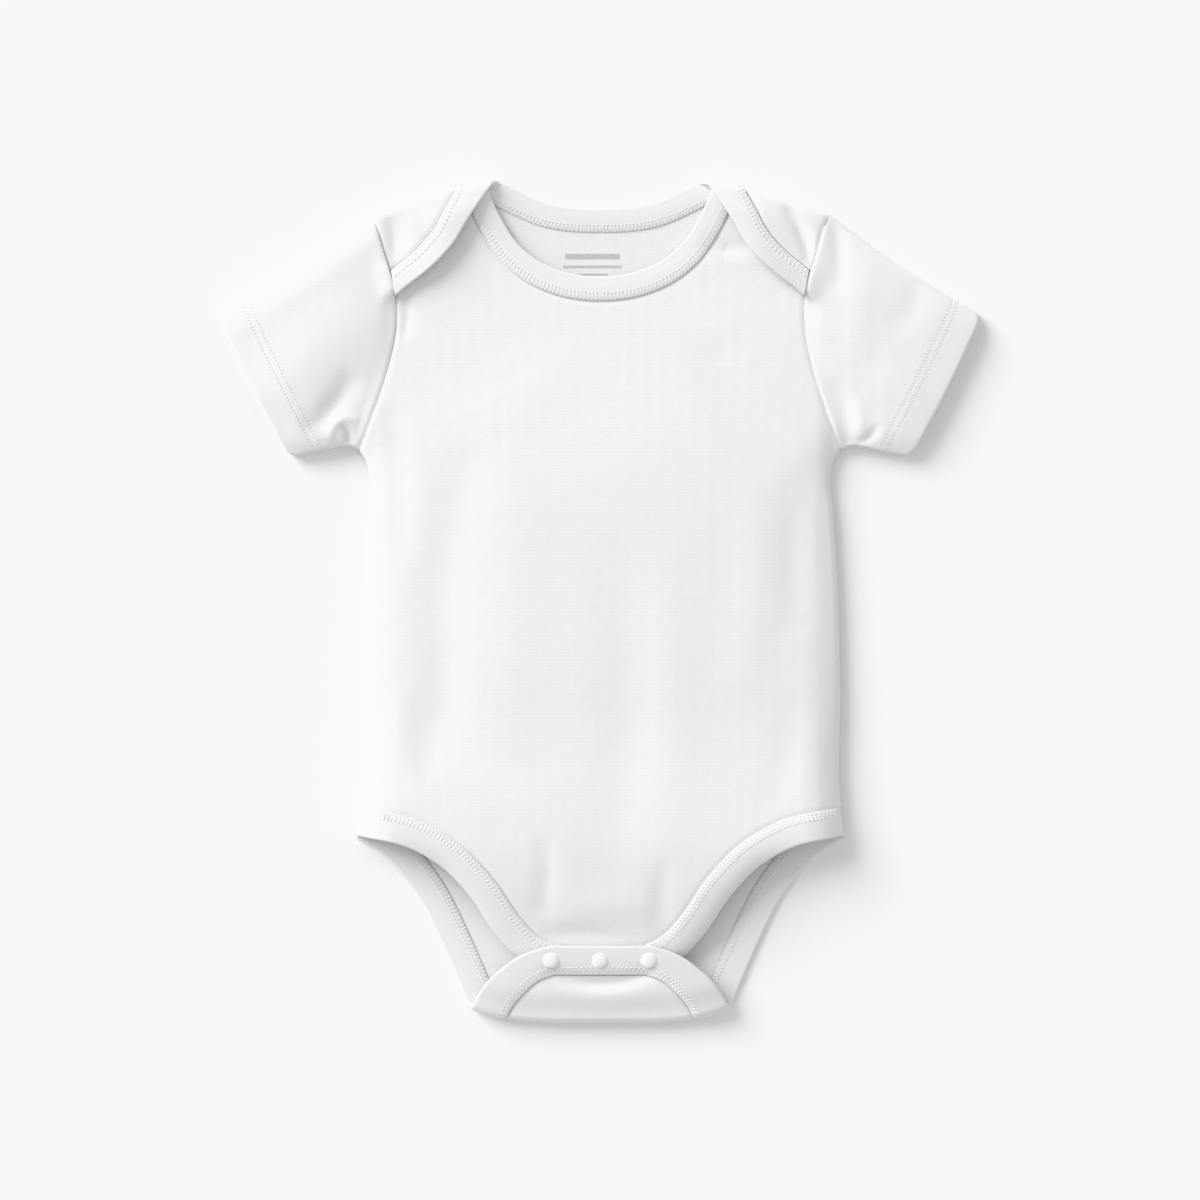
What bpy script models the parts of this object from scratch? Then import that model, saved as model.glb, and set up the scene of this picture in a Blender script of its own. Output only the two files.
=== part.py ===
"""Short-sleeved baby bodysuit, snapped shut and laid flat on its back.

The middle of the garment is x = 0, the neck points to +Y and the surface it lies on is z = 0.
Every size below is in millimetres; only the finished meshes are in metres.
Each piece is worked out as its right half or its right-hand copy. The back panel and its bindings
are drawn unfolded, as they are cut, and then folded over at the shoulders and at the crotch.
"""
import math
from collections import namedtuple

import bpy
import numpy as np

MM = 0.001

# ---- cloth -------------------------------------------------------------------------------------
CLOTH = 1.2             # jersey wall
BINDING = 1.8           # folded rib strip, flush with the panel's outer or lower face
SEAM_GAP = 0.3          # between two pieces that are sewn together
NECK_BINDING = 12.7     # width of the neck bindings
LEG_BINDING = 15.2      # width of the leg bindings
EDGE_IN = 0.9           # a binding's free edge is bevelled by this across
EDGE_UP = 0.55          # and by this in height
HEM = 16.0              # depth of the turned sleeve hem
HEM_WALL = 1.8          # the two layers of the hem
LAID = CLOTH / 2        # middle of a layer that lies on the surface

# ---- how the front rises over the back ---------------------------------------------------------
Crown = namedtuple("Crown", "up height")          # middle of the front cloth along the body
CROWNS = [Crown(-178, 2.1), Crown(-150, 3.6), Crown(-112, 5.0), Crown(-70, 5.4),
          Crown(110, 5.4), Crown(160, 3.9), Crown(196, 2.7), Crown(225, 2.7)]
SIDE_HEIGHT = 2.1       # middle of the front cloth at the side seam
CORNER_LIFT = 0.6       # what the front gains there over the leg binding of the back
CORNER_UP = (-100.0, -85.0)
ROLL = 14.0             # width over which the front rises from the side seam
ROLL_POWER = 2.5
SHOULDER_LAP = 2.7      # middle of the front cloth inside the shoulder fold

# ---- how finely lines are drawn ----------------------------------------------------------------
FINE = 400              # points of a seam
SHORT = 40              # points of a line from seam to seam

# ---- seams, drawn from the middle outwards -----------------------------------------------------
Seam = namedtuple("Seam", "across up layer")
UNDER, OVER = 0, 1      # OVER is a stretch seen on a flap, after its fold

SIDE = [Seam(127.1, -121.7, UNDER), Seam(124.4, -98, UNDER), Seam(124.8, -48, UNDER),
        Seam(123.4, 5, UNDER), Seam(121.0, 46, UNDER), Seam(119.7, 66, UNDER),
        Seam(121.6, 74, UNDER), Seam(125.3, 79.3, UNDER)]
ARMHOLE = [Seam(125.3, 79.3, UNDER), Seam(118, 99.8, UNDER), Seam(110.5, 123.2, UNDER),
           Seam(106.4, 146.6, UNDER), Seam(107.3, 163, UNDER), Seam(112.6, 182, UNDER),
           Seam(118.9, 202.4, UNDER)]
NECK_FRONT = [Seam(0, 157, UNDER), Seam(20.8, 159.6, UNDER), Seam(41.6, 169, UNDER),
              Seam(52, 178.1, UNDER), Seam(62.9, 194.5, UNDER), Seam(73, 217, UNDER)]
NECK_BACK = [Seam(0, 192.4, UNDER), Seam(31.2, 195.8, UNDER), Seam(52, 204.9, UNDER),
             Seam(81.4, 205, OVER), Seam(87, 194.5, OVER), Seam(96, 184, OVER),
             Seam(109.2, 173, OVER)]
LEG_FRONT = [Seam(24, -178.8, UNDER), Seam(31.5, -175, UNDER), Seam(41.6, -164.8, UNDER),
             Seam(54.5, -146, UNDER), Seam(72.8, -126.6, UNDER),
             Seam(93.6, -114.4, UNDER), Seam(125.2, -106.8, UNDER)]
LEG_BACK = [Seam(23.5, -194.5, OVER), Seam(31.5, -197.4, OVER), Seam(41.6, -206.2, OVER),
            Seam(57.5, -197, UNDER), Seam(68.1, -172.6, UNDER),
            Seam(82.9, -144, UNDER), Seam(103, -120.5, UNDER), Seam(125.2, -107, UNDER)]

# ---- folds: where the back turns up, and how far its ends lie behind the middle ----------------
Fold = namedtuple("Fold", "across up out_x out_y half drop power radius rise")
CROTCH = Fold(0.0, -216.7, 0.0, -1.0, 68.0, 8.0, 4, 2.1, 1.7)
SHOULDER = Fold(89.1, 210.2, 0.276, 0.961, 30.6, 2.4, 2, 2.4, 0.0)
CROTCH_RISE_OVER = 14.0  # the crotch flap rises by `rise` over this distance from its fold
FOLD_ROWS = 5
FLAP_ROWS = 6
FLAP_CORNER = 0.8       # what the shoulder flap lacks of its sharp corner

# ---- how closely the cloth is divided ----------------------------------------------------------
SIDE_ROWS = 13          # points up the side seam
ARM_ROWS = 12           # points up the armhole
SIDE_COLUMNS = 11       # columns from the middle to where the front rolls down
FRONT_TAB, FRONT_NECK = 3, 7      # of these, to the corners of the front
BACK_CROTCH, BACK_NECK = 5, 7     # and to the corners of the back
LAP_SHORT = 1.0         # how far inside the shoulder fold the front ends
ARM_END = [Seam(109.2, 173.0, OVER), Seam(106.5, 158.0, OVER)]  # the flap's edge at the armhole

# ---- sleeve ------------------------------------------------------------------------------------
SLEEVE_TOP = [Seam(118.8, 202.3, UNDER), Seam(135.2, 189.8, UNDER), Seam(156, 175.5, UNDER),
              Seam(176.8, 162.8, UNDER), Seam(199.0, 149.6, UNDER)]
SLEEVE_UNDER = [Seam(125.3, 79.3, UNDER), Seam(131.6, 81.4, UNDER), Seam(138.8, 80.3, UNDER),
                Seam(148.2, 78.4, UNDER), Seam(162.2, 75.9, UNDER)]
CUFF_WIDTH = 82.0
CUFF_BOW = 1.2          # how far the cuff's edge curves outwards
Ring = namedtuple("Ring", "along edge crown")     # share of the length, outer heights
RINGS = [Ring(0.0, 2.9, 6.0), Ring(0.2, 2.9, 6.4), Ring(0.4, 3.0, 6.4), Ring(0.6, 3.4, 6.2),
         Ring(0.78, 4.2, 6.0), Ring(0.9, 4.4, 5.8), Ring(1.0, 4.4, 5.6)]
SleeveEdge = namedtuple("SleeveEdge", "inwards turn")     # from the edge, share of the rounding
SLEEVE_EDGE = [SleeveEdge(0.0, 0.0), SleeveEdge(0.5, 0.75), SleeveEdge(1.6, 1.0),
               SleeveEdge(5.0, 1.0), SleeveEdge(9.5, 1.0), SleeveEdge(15.0, 1.0)]
EDGE_ROUND = 1.6        # how far in the rounding of a sleeve's edge reaches
EDGE_RISE = 13.4        # and how far on its upper side goes on rising
EDGE_POWER = 2.2
SLEEVE_MIDDLE = 5       # rows of points between the two risen edges

# ---- snaps -------------------------------------------------------------------------------------
SNAP_ACROSS = (-25.5, 0.0, 25.5)
SNAP_UP = -186.6
SNAP_CLEAR = 0.2
CAP_RADIUS = 4.4
CAP_HEIGHT = 1.4
CAP_RIM = 0.3           # height of the rim under the dome
CAP_TURNS = (0, 30, 55, 75)
HALF_RADIUS = 4.0       # socket and stud
STUD_BASE = 0.5
POST_RADIUS = 1.6
SOCKET_BORE = 2.0
SOCKET_HEIGHT = 0.9
SNAP_STEPS = 20

# ---- finish ------------------------------------------------------------------------------------
WHITE_JERSEY = (0.90, 0.90, 0.89, 1)
WHITE_RIB = (0.92, 0.92, 0.91, 1)
WHITE_SNAP = (0.93, 0.93, 0.93, 1)


# ---- lines in the plane ------------------------------------------------------------------------
def smooth(share):
    """A soft step from 0 to 1."""
    share = np.clip(share, 0, 1)
    return share * share * (3 - 2 * share)


def lengths(line):
    """Length along a line up to each of its points."""
    steps = np.linalg.norm(np.diff(line, axis=0), axis=1)
    return np.concatenate(([0.0], np.cumsum(steps)))


def at_lengths(line, wanted):
    """Points of a line at the wanted lengths."""
    reach = lengths(line)
    return np.stack([np.interp(wanted, reach, line[:, axis]) for axis in (0, 1)], axis=1)


def even(line, count):
    """A line again, as evenly spaced points."""
    return at_lengths(line, np.linspace(0, lengths(line)[-1], count))


def through(rows):
    """A smooth line through the rows: a cubic for each stretch, with its neighbours' slopes.

    A line that starts in the middle leaves it at a right angle.
    """
    points = np.array([unfolded(row) for row in rows])
    reach = lengths(points)
    slopes = np.gradient(points, reach, axis=0)
    if points[0, 0] == 0:
        slopes[0, 1] = 0.0
    fine = np.linspace(0, reach[-1], FINE)
    first = np.clip(np.searchsorted(reach, fine, side="right") - 1, 0, len(points) - 2)
    span = (reach[first + 1] - reach[first])[:, None]
    t = (fine - reach[first])[:, None] / span
    start, end = points[first], points[first + 1]
    leave, arrive = slopes[first] * span, slopes[first + 1] * span
    return (start * (1 + 2 * t) * (1 - t) ** 2 + leave * t * (1 - t) ** 2
            + end * t * t * (3 - 2 * t) + arrive * t * t * (t - 1))


def moved(line, distance):
    """A line moved sideways, to the left of its direction."""
    direction = np.gradient(line, axis=0)
    direction /= np.linalg.norm(direction, axis=1)[:, None]
    return line + distance * np.stack((-direction[:, 1], direction[:, 0]), axis=1)


def distance_to(line, across, up):
    """Distance of each place in the plane from a line."""
    place = np.stack((across, up), axis=-1)[..., None, :]
    start, run = line[:-1], np.diff(line, axis=0)
    share = np.clip(((place - start) * run).sum(-1) / (run * run).sum(-1), 0, 1)
    return np.linalg.norm(place - start - share[..., None] * run, axis=-1).min(-1)


def patch(bottom, top, inner, outer, shares):
    """A grid between four lines; shares places its columns from the inner to the outer line."""
    u = shares[None, :, None]
    v = np.linspace(0, 1, len(inner))[:, None, None]
    corners = ((1 - u) * (1 - v) * bottom[0] + u * (1 - v) * bottom[-1]
               + (1 - u) * v * top[0] + u * v * top[-1])
    return ((1 - v) * bottom[None] + v * top[None]
            + (1 - u) * inner[:, None] + u * outer[:, None] - corners)


# ---- folding -----------------------------------------------------------------------------------
def beyond(fold, place):
    """How far a place of the unfolded cloth lies past the start of a fold."""
    offset = place - np.array((fold.across, fold.up))
    out = np.array((fold.out_x, fold.out_y))
    along = offset @ np.array((out[1], -out[0]))
    behind = fold.drop * np.minimum(np.abs(along) / fold.half, 1.2) ** fold.power
    return offset @ out + behind


def unfolded(row):
    """The place of a seam's row on the unfolded cloth."""
    place = np.array((row.across, row.up), float)
    if row.layer == UNDER:
        return place
    fold = CROTCH if row.up < 0 else SHOULDER
    inside = -beyond(fold, place)
    return place + np.array((fold.out_x, fold.out_y)) * (2 * inside + math.pi * fold.radius)


def folded(place, lift=0.0):
    """Folds unfolded cloth up at the crotch and shoulders; lift is a height above its middle."""
    height = np.full(place.shape[:-1], LAID) + lift
    result = np.concatenate((place, height[..., None]), axis=-1)
    for fold in (CROTCH, SHOULDER):
        past = beyond(fold, place)
        turn = np.clip(past / fold.radius, 0, math.pi)
        flat = np.maximum(past - math.pi * fold.radius, 0)
        out = np.array((fold.out_x, fold.out_y))
        shift = -past + (fold.radius - lift) * np.sin(turn) - flat
        plane = place + shift[..., None] * out
        if fold is CROTCH:
            rise = fold.rise * smooth(flat / CROTCH_RISE_OVER)
        else:
            rise = front_height(plane[..., 0], plane[..., 1]) - SHOULDER_LAP
        rise = np.where(flat > 0, rise, 0)
        turned = LAID + fold.radius - (fold.radius - lift) * np.cos(turn) + rise
        new = np.concatenate((plane, turned[..., None]), axis=-1)
        result = np.where((past > 0)[..., None], new, result)
    return result


# ---- the shapes that the pieces share ----------------------------------------------------------
side_line = through(SIDE)
armhole_line = through(ARMHOLE)
under_line = through(SLEEVE_UNDER)
rim_line = np.vstack((side_line, under_line[1:]))
shoulder_out = np.array((SHOULDER.out_x, SHOULDER.out_y))
shoulder_start = np.array((SHOULDER.across, SHOULDER.up))


def front_height(across, up):
    """Height of the middle of the front cloth: low at the side seams and at both ends."""
    crown = np.interp(up, [row.up for row in CROWNS], [row.height for row in CROWNS])
    corner = smooth((CORNER_UP[1] - up) / (CORNER_UP[1] - CORNER_UP[0]))
    seam = np.minimum(SIDE_HEIGHT + CORNER_LIFT * corner, crown)
    inwards = np.clip(distance_to(rim_line, across, up) / ROLL, 0, 1)
    return seam + (crown - seam) * (1 - (1 - inwards) ** ROLL_POWER)


def on_front(place, lift=0.0):
    """Lays places of the front on its rising shape."""
    height = front_height(place[..., 0], place[..., 1]) + lift
    return np.concatenate((place, height[..., None]), axis=-1)


def cut_at_fold(line, fold, early=0.0):
    """A line in two: up to the start of a fold, or a little before it, and from there on."""
    past = beyond(fold, line) + early
    cut = int(np.argmax(past > 0))
    share = past[cut - 1] / (past[cut - 1] - past[cut])
    at_start = line[cut - 1] + share * (line[cut] - line[cut - 1])
    return np.vstack((line[:cut], at_start)), np.vstack((at_start, line[cut:]))


def outer_line(leg_end, armhole):
    """The outer edge of a body half: side seam, then armhole, up to the shoulder."""
    above_leg = side_line[:, 1] > leg_end[1] + 1
    below_arm = side_line[:, 1] < armhole[0, 1] - 1
    lower = even(np.vstack((leg_end, side_line[above_leg & below_arm], armhole[0])), SIDE_ROWS)
    return np.vstack((lower, even(armhole, ARM_ROWS)[1:]))


# ---- making Blender objects --------------------------------------------------------------------
def material(name, colour, roughness):
    """A plain finish."""
    made = bpy.data.materials.new(name)
    made.use_nodes = True
    shader = made.node_tree.nodes["Principled BSDF"]
    shader.inputs["Base Color"].default_value = colour
    shader.inputs["Roughness"].default_value = roughness
    shader.inputs["Metallic"].default_value = 0.0
    return made


def piece(name, points, faces, finish, edges=()):
    """An object from points in millimetres."""
    mesh = bpy.data.meshes.new(name)
    mesh.from_pydata((np.asarray(points) * MM).tolist(), edges, faces)
    mesh.update()
    made = bpy.data.objects.new(name, mesh)
    garment.objects.link(made)
    mesh.materials.append(finish)
    return made


def grid_faces(rows, columns, first=0):
    """Quads of a grid of points, numbered row by row."""
    corner = first + np.arange(rows * columns).reshape(rows, columns)
    quads = np.stack((corner[:-1, :-1], corner[:-1, 1:], corner[1:, 1:], corner[1:, :-1]), -1)
    return quads.reshape(-1, 4).tolist()


def mirrored(made):
    """Completes a right half across the middle of the garment."""
    mirror = made.modifiers.new("other_half", "MIRROR")
    mirror.use_axis = (True, False, False)
    mirror.use_clip = True
    mirror.merge_threshold = 0.00001
    return made


def panel(name, patches):
    """A cloth panel: its patches welded, mirrored and given their wall."""
    points, faces = [], []
    for grid in patches:
        faces += grid_faces(grid.shape[0], grid.shape[1], len(points))
        points += grid.reshape(-1, 3).tolist()
    made = piece(name, points, faces, jersey)
    weld = made.modifiers.new("patches", "WELD")
    weld.merge_threshold = 0.00001
    mirrored(made)
    wall = made.modifiers.new("wall", "SOLIDIFY")
    wall.thickness = CLOTH * MM
    wall.offset = 0.0
    wall.use_even_offset = True
    return made


def binding(name, seam, edge, shape):
    """A folded rib strip between its seam and its free edge, rounded at the free edge."""
    width = np.linalg.norm(edge - seam, axis=1)[:, None]
    rounded = 1 - EDGE_IN / width
    low, high = -CLOTH / 2, BINDING - CLOTH / 2
    section = [(0.0, low), (rounded, low), (1.0, low + EDGE_UP),
               (1.0, high - EDGE_UP), (rounded, high), (0.0, high)]
    points = np.stack([shape(seam + share * (edge - seam), lift)
                       for share, lift in section], axis=1)
    points[0, :, 0] = 0.0
    count, around = points.shape[:2]
    corner = np.arange(count * around).reshape(count, around)
    beside = np.roll(corner, -1, axis=1)
    quads = np.stack((corner[:-1], beside[:-1], beside[1:], corner[1:]), -1).reshape(-1, 4)
    faces = quads.tolist() + [corner[-1].tolist()]
    run, across = seam[1] - seam[0], edge[0] - seam[0]
    if run[0] * across[1] - run[1] * across[0] < 0:
        faces = [face[::-1] for face in faces]
    mirrored(piece(name, points.reshape(-1, 3), faces, rib))


# ---- the body ----------------------------------------------------------------------------------
NEAR_SIDE = np.array((9.0, 4.5, 1.8, 0.0))  # how far the last columns are from the side seam
BODY_HALF = 125.0


def columns(line, corner, inner_count, outer_count):
    """Points of a line from the middle outwards: even on both sides of its corner."""
    total = lengths(line)[-1]
    inner = np.linspace(0, corner, inner_count + 1)
    outer = np.linspace(corner, total - ROLL, outer_count + 1)[1:]
    return at_lengths(line, np.concatenate((inner, outer, total - NEAR_SIDE)))


def column_shares(count):
    """Where the columns lie between the middle and the side, as shares."""
    inner = np.linspace(0, BODY_HALF - ROLL, count + 1)
    return np.concatenate((inner, BODY_HALF - NEAR_SIDE)) / BODY_HALF


def body_grid(bottom_parts, top_parts, armhole, counts):
    """A body half between its lower line, its upper line, its middle and its outer edge."""
    lower = np.vstack((bottom_parts[0], bottom_parts[1][1:]))
    upper = np.vstack((top_parts[0], top_parts[1][1:]))
    bottom = columns(lower, lengths(bottom_parts[0])[-1], counts[0], counts[1])
    top = columns(upper, lengths(top_parts[0])[-1], counts[2], counts[3])
    outer = outer_line(lower[-1], armhole)
    up = np.linspace(lower[0, 1], upper[0, 1], len(outer))
    grid = patch(bottom, top, np.stack((0 * up, up), axis=1), outer,
                 column_shares(SIDE_COLUMNS))
    grid[:, 0, 0] = 0.0
    return grid


def front_cut():
    """The front body as cut: neckline, shoulder laps, armholes, side seams and crotch tab."""
    leg = moved(through(LEG_FRONT), SEAM_GAP / 2)
    tab = np.linspace((0.0, leg[0, 1]), leg[0], SHORT)
    neck = cut_at_fold(moved(through(NECK_FRONT), -SEAM_GAP / 2), SHOULDER, LAP_SHORT)[0]
    armhole = cut_at_fold(moved(armhole_line, SEAM_GAP / 2), SHOULDER, LAP_SHORT)[0]
    shoulder = np.linspace(neck[-1], armhole[-1], SHORT)
    counts = (FRONT_TAB, SIDE_COLUMNS - FRONT_TAB, FRONT_NECK, SIDE_COLUMNS - FRONT_NECK)
    return body_grid((tab, leg), (neck, shoulder), armhole, counts)


def at_depths(line, fold, depths):
    """Points of a line at the wanted distances past the start of a fold."""
    past = beyond(fold, line)
    order = np.argsort(past)
    return np.stack([np.interp(depths, past[order], line[order, axis]) for axis in (0, 1)], axis=1)


def flap_depths(fold, deepest):
    """Rows of a flap: close ones round its fold, then even ones to its end."""
    half_turn = math.pi * fold.radius
    round_fold = np.linspace(0, half_turn, FOLD_ROWS + 1)
    return np.concatenate((round_fold, np.linspace(half_turn, deepest, FLAP_ROWS + 1)[1:]))


def crotch_flap(start, leg_flap):
    """The cloth from the crotch fold to the straight end of its flap."""
    depths = flap_depths(CROTCH, beyond(CROTCH, leg_flap).max())
    half_width = at_depths(leg_flap, CROTCH, depths)[:, 0]
    across = half_width[:, None] * np.linspace(0, 1, len(start))
    flap = np.stack((across, np.full_like(across, CROTCH.up)), axis=-1)
    flap[..., 1] -= beyond(CROTCH, flap) * CROTCH.out_y + depths[:, None]
    flap[0] = start
    return flap


def shoulder_flap(start, neck_flap, armhole):
    """The cloth from the shoulder fold to the corner where the flap's edge meets the armhole."""
    inside = -beyond(SHOULDER, armhole)
    half_turn = math.pi * SHOULDER.radius
    turned_arm = armhole + (2 * inside + half_turn)[:, None] * shoulder_out
    arm = np.vstack((start[-1], start[-1] + half_turn * shoulder_out, turned_arm[::-1]))
    depths = flap_depths(SHOULDER, beyond(SHOULDER, neck_flap).max() - FLAP_CORNER)
    neck_side = at_depths(neck_flap, SHOULDER, depths)
    arm_side = at_depths(arm, SHOULDER, depths)
    shares = (lengths(start) / lengths(start)[-1])[None, :, None]
    flap = neck_side[:, None] + shares * (arm_side - neck_side)[:, None]
    flap[0] = start
    return flap


def back_cut():
    """The back body as cut: the body, its crotch flap and its right shoulder flap."""
    leg = moved(through(LEG_BACK), SEAM_GAP / 2)[::-1]
    leg_side, leg_flap = cut_at_fold(leg, CROTCH)
    neck_base, neck_flap = cut_at_fold(moved(through(NECK_BACK), -SEAM_GAP / 2), SHOULDER)
    armhole = cut_at_fold(moved(armhole_line, SEAM_GAP / 2), SHOULDER)[0]
    crotch = np.linspace((0.0, leg_side[-1, 1]), leg_side[-1], SHORT)
    crotch[:, 1] += beyond(CROTCH, crotch)
    shoulder = np.linspace(neck_base[-1], armhole[-1], SHORT)
    shoulder -= beyond(SHOULDER, shoulder)[:, None] * shoulder_out
    counts = (BACK_CROTCH, SIDE_COLUMNS - BACK_CROTCH, BACK_NECK, SIDE_COLUMNS - BACK_NECK)
    body = body_grid((crotch, leg_side[::-1]), (neck_base, shoulder), armhole, counts)
    flap = crotch_flap(body[0, :BACK_CROTCH + 1], leg_flap)
    lap = shoulder_flap(body[-1, BACK_NECK:], neck_flap, armhole)
    return body, flap, lap


# ---- the bindings ------------------------------------------------------------------------------
def ended_on(line, point, out):
    """A line cut, or run on straight, where it meets the line through point across out."""
    run = (line[-1] - line[-6]) / np.linalg.norm(line[-1] - line[-6])
    line = np.vstack((line, line[-1] + 40 * run))
    past = (line - point) @ out
    cut = int(np.argmax(past > 0))
    share = past[cut - 1] / (past[cut - 1] - past[cut])
    return np.vstack((line[:cut], line[cut - 1] + share * (line[cut] - line[cut - 1])))


def alike(line, stations):
    """Points of a line at the shares of its length that the stations have of theirs."""
    return at_lengths(line, lengths(stations) / lengths(stations)[-1] * lengths(line)[-1])


def past_fold(line, stations, fold):
    """Points of a line that crosses a fold, each as far past the fold as its station there."""
    depths = beyond(fold, stations)
    turning = (depths > -0.01) & (depths < math.pi * fold.radius + 0.01)
    base, flap = cut_at_fold(line, fold)
    rest = cut_at_fold(flap, fold, -math.pi * fold.radius)[1]
    first, last = np.flatnonzero(turning)[[0, -1]]
    crossing = at_depths(flap[:len(flap) - len(rest) + 2], fold, depths[first:last + 1])
    return np.vstack((alike(base, stations[:first + 1])[:-1], crossing,
                      alike(rest, stations[last:])[1:]))


def bindings_front(cut):
    """The front bindings, along the neckline and the lower edge of the cut front."""
    seam = moved(cut[-1, :FRONT_NECK + 1], SEAM_GAP)
    edge = moved(through(NECK_FRONT), NECK_BINDING)
    edge = alike(cut_at_fold(edge, SHOULDER, LAP_SHORT)[0], seam)
    binding("neck_binding_front", seam, edge, on_front)
    seam = moved(cut[0], -SEAM_GAP)
    edge = moved(cut[0], -LEG_BINDING - SEAM_GAP / 2)
    binding("leg_binding_front", seam, edge, on_front)


def bindings_back(body, flap, lap):
    """The back bindings, each along an edge that runs on over a fold."""
    arm_end, arm_low = (unfolded(row) for row in ARM_END)
    out = np.array((arm_low - arm_end)[::-1]) * (-1, 1)
    out /= np.linalg.norm(out) * np.sign(out[0])
    panel_edge = np.vstack((body[-1, :BACK_NECK + 1], lap[1:, 0]))
    seam = ended_on(moved(panel_edge, SEAM_GAP), arm_end - SEAM_GAP / 2 * out, out)
    edge = ended_on(moved(through(NECK_BACK), NECK_BINDING), arm_end - SEAM_GAP / 2 * out, out)
    binding("neck_binding_back", seam, past_fold(edge, seam, SHOULDER), folded)

    panel_edge = np.vstack((flap[-1], flap[-2::-1, -1], body[0, BACK_CROTCH + 1:]))
    seam = moved(panel_edge, -SEAM_GAP)
    edge = moved(panel_edge, -LEG_BINDING - SEAM_GAP / 2)
    edge = even(edge, FINE)
    edge = edge[edge[:, 0] < SIDE[0].across]
    edge = past_fold(edge[::-1], seam[::-1], CROTCH)[::-1]
    binding("leg_binding_back", seam, edge, folded)


# ---- the sleeves -------------------------------------------------------------------------------
def line_at(line, share):
    """Points of a line at shares of its length."""
    return at_lengths(line, share * lengths(line)[-1])


def sleeve_place(down, along):
    """A place of the sleeve: down from its top fold, and along from the armhole to the cuff."""
    top = through(SLEEVE_TOP)
    under = through(SLEEVE_UNDER)
    arm = moved(armhole_line, -SEAM_GAP / 2)[::-1]
    top[0], under[0] = arm[0], arm[-1]
    cuff = np.linspace(top[-1], under[-1], SHORT)
    run = (cuff[-1] - cuff[0]) / np.linalg.norm(cuff[-1] - cuff[0])
    bow = CUFF_BOW * np.sin(np.linspace(0, math.pi, SHORT))
    cuff += bow[:, None] * np.array((-run[1], run[0]))
    u, v = down[:, None], along[:, None]
    corners = ((1 - u) * (1 - v) * arm[0] + u * (1 - v) * arm[-1]
               + (1 - u) * v * cuff[0] + u * v * cuff[-1])
    return ((1 - v) * line_at(arm, down) + v * line_at(cuff, down)
            + (1 - u) * line_at(top, along) + u * line_at(under, along) - corners)


def sleeve_ring(along, wall, from_cuff=None):
    """One ring of the flattened tube, at its outer face or a wall's thickness inside it."""
    arm_width = lengths(armhole_line)[-1]
    width = arm_width + (CUFF_WIDTH - arm_width) * along
    edge = np.interp(along, [ring.along for ring in RINGS], [ring.edge for ring in RINGS])
    crown = np.interp(along, [ring.along for ring in RINGS], [ring.crown for ring in RINGS])
    by_edge, turn = np.array(SLEEVE_EDGE).T
    rise = 1 - (1 - np.clip((by_edge - EDGE_ROUND) / EDGE_RISE, 0, 1)) ** EDGE_POWER
    low = edge / 2 - (edge / 2 - wall) * turn
    high = edge / 2 + (edge / 2 - wall) * turn + (crown - edge) * rise
    inwards = (by_edge + wall) / width
    across = np.linspace(inwards[-1], 1 - inwards[-1], SLEEVE_MIDDLE + 2)[1:-1]
    down = np.concatenate((inwards, across, 1 - inwards[::-1],
                           1 - inwards[1:3], across[::-1], inwards[2:0:-1]))
    flat = np.full(SLEEVE_MIDDLE, wall)
    height = np.concatenate((high, np.full(SLEEVE_MIDDLE, high[-1]), high[::-1],
                             low[1:3], flat, low[2:0:-1]))
    share = np.full(len(down), along)
    if from_cuff is not None:
        length = np.linalg.norm(sleeve_place(down, share * 0 + 1) - sleeve_place(down, share * 0),
                                axis=1)
        share = 1 - from_cuff / length
    return np.concatenate((sleeve_place(down, share), height[:, None]), axis=1)


def sleeve(name, side):
    """A sleeve: its rings run out to the cuff, turn, and run back inside."""
    rings = [sleeve_ring(ring.along, 0.0) for ring in RINGS]
    rings += [sleeve_ring(1.0, HEM_WALL), sleeve_ring(0.8, HEM_WALL, HEM),
              sleeve_ring(0.8, CLOTH, HEM + 1), sleeve_ring(0.3, CLOTH), sleeve_ring(0.0, CLOTH)]
    points = np.array(rings)
    points[..., 0] *= side
    count, around = points.shape[:2]
    corner = np.arange(count * around).reshape(count, around)
    after, beside = np.roll(corner, -1, axis=0), np.roll(corner, -1, axis=1)
    both = np.roll(after, -1, axis=1)
    quads = np.stack((corner, after, both, beside), -1).reshape(-1, 4)
    if side > 0:
        quads = quads[:, ::-1]
    piece(name, points.reshape(-1, 3), quads.tolist(), jersey)


# ---- the snaps ---------------------------------------------------------------------------------
def turned(name, profile, place, finish):
    """A turned piece: its profile of radius and height, spun round the upright axis."""
    points = np.array([(radius, 0.0, height) for radius, height in profile])
    edges = [(k, k + 1) for k in range(len(profile) - 1)]
    if profile[0][0] > 0:
        edges.append((len(profile) - 1, 0))
    made = piece(name, points, [], finish, edges)
    made.location = [size * MM for size in place]
    spin = made.modifiers.new("spin", "SCREW")
    spin.steps = SNAP_STEPS
    spin.render_steps = SNAP_STEPS
    spin.use_merge_vertices = True
    spin.merge_threshold = 0.00001
    spin.use_normal_flip = True


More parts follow.
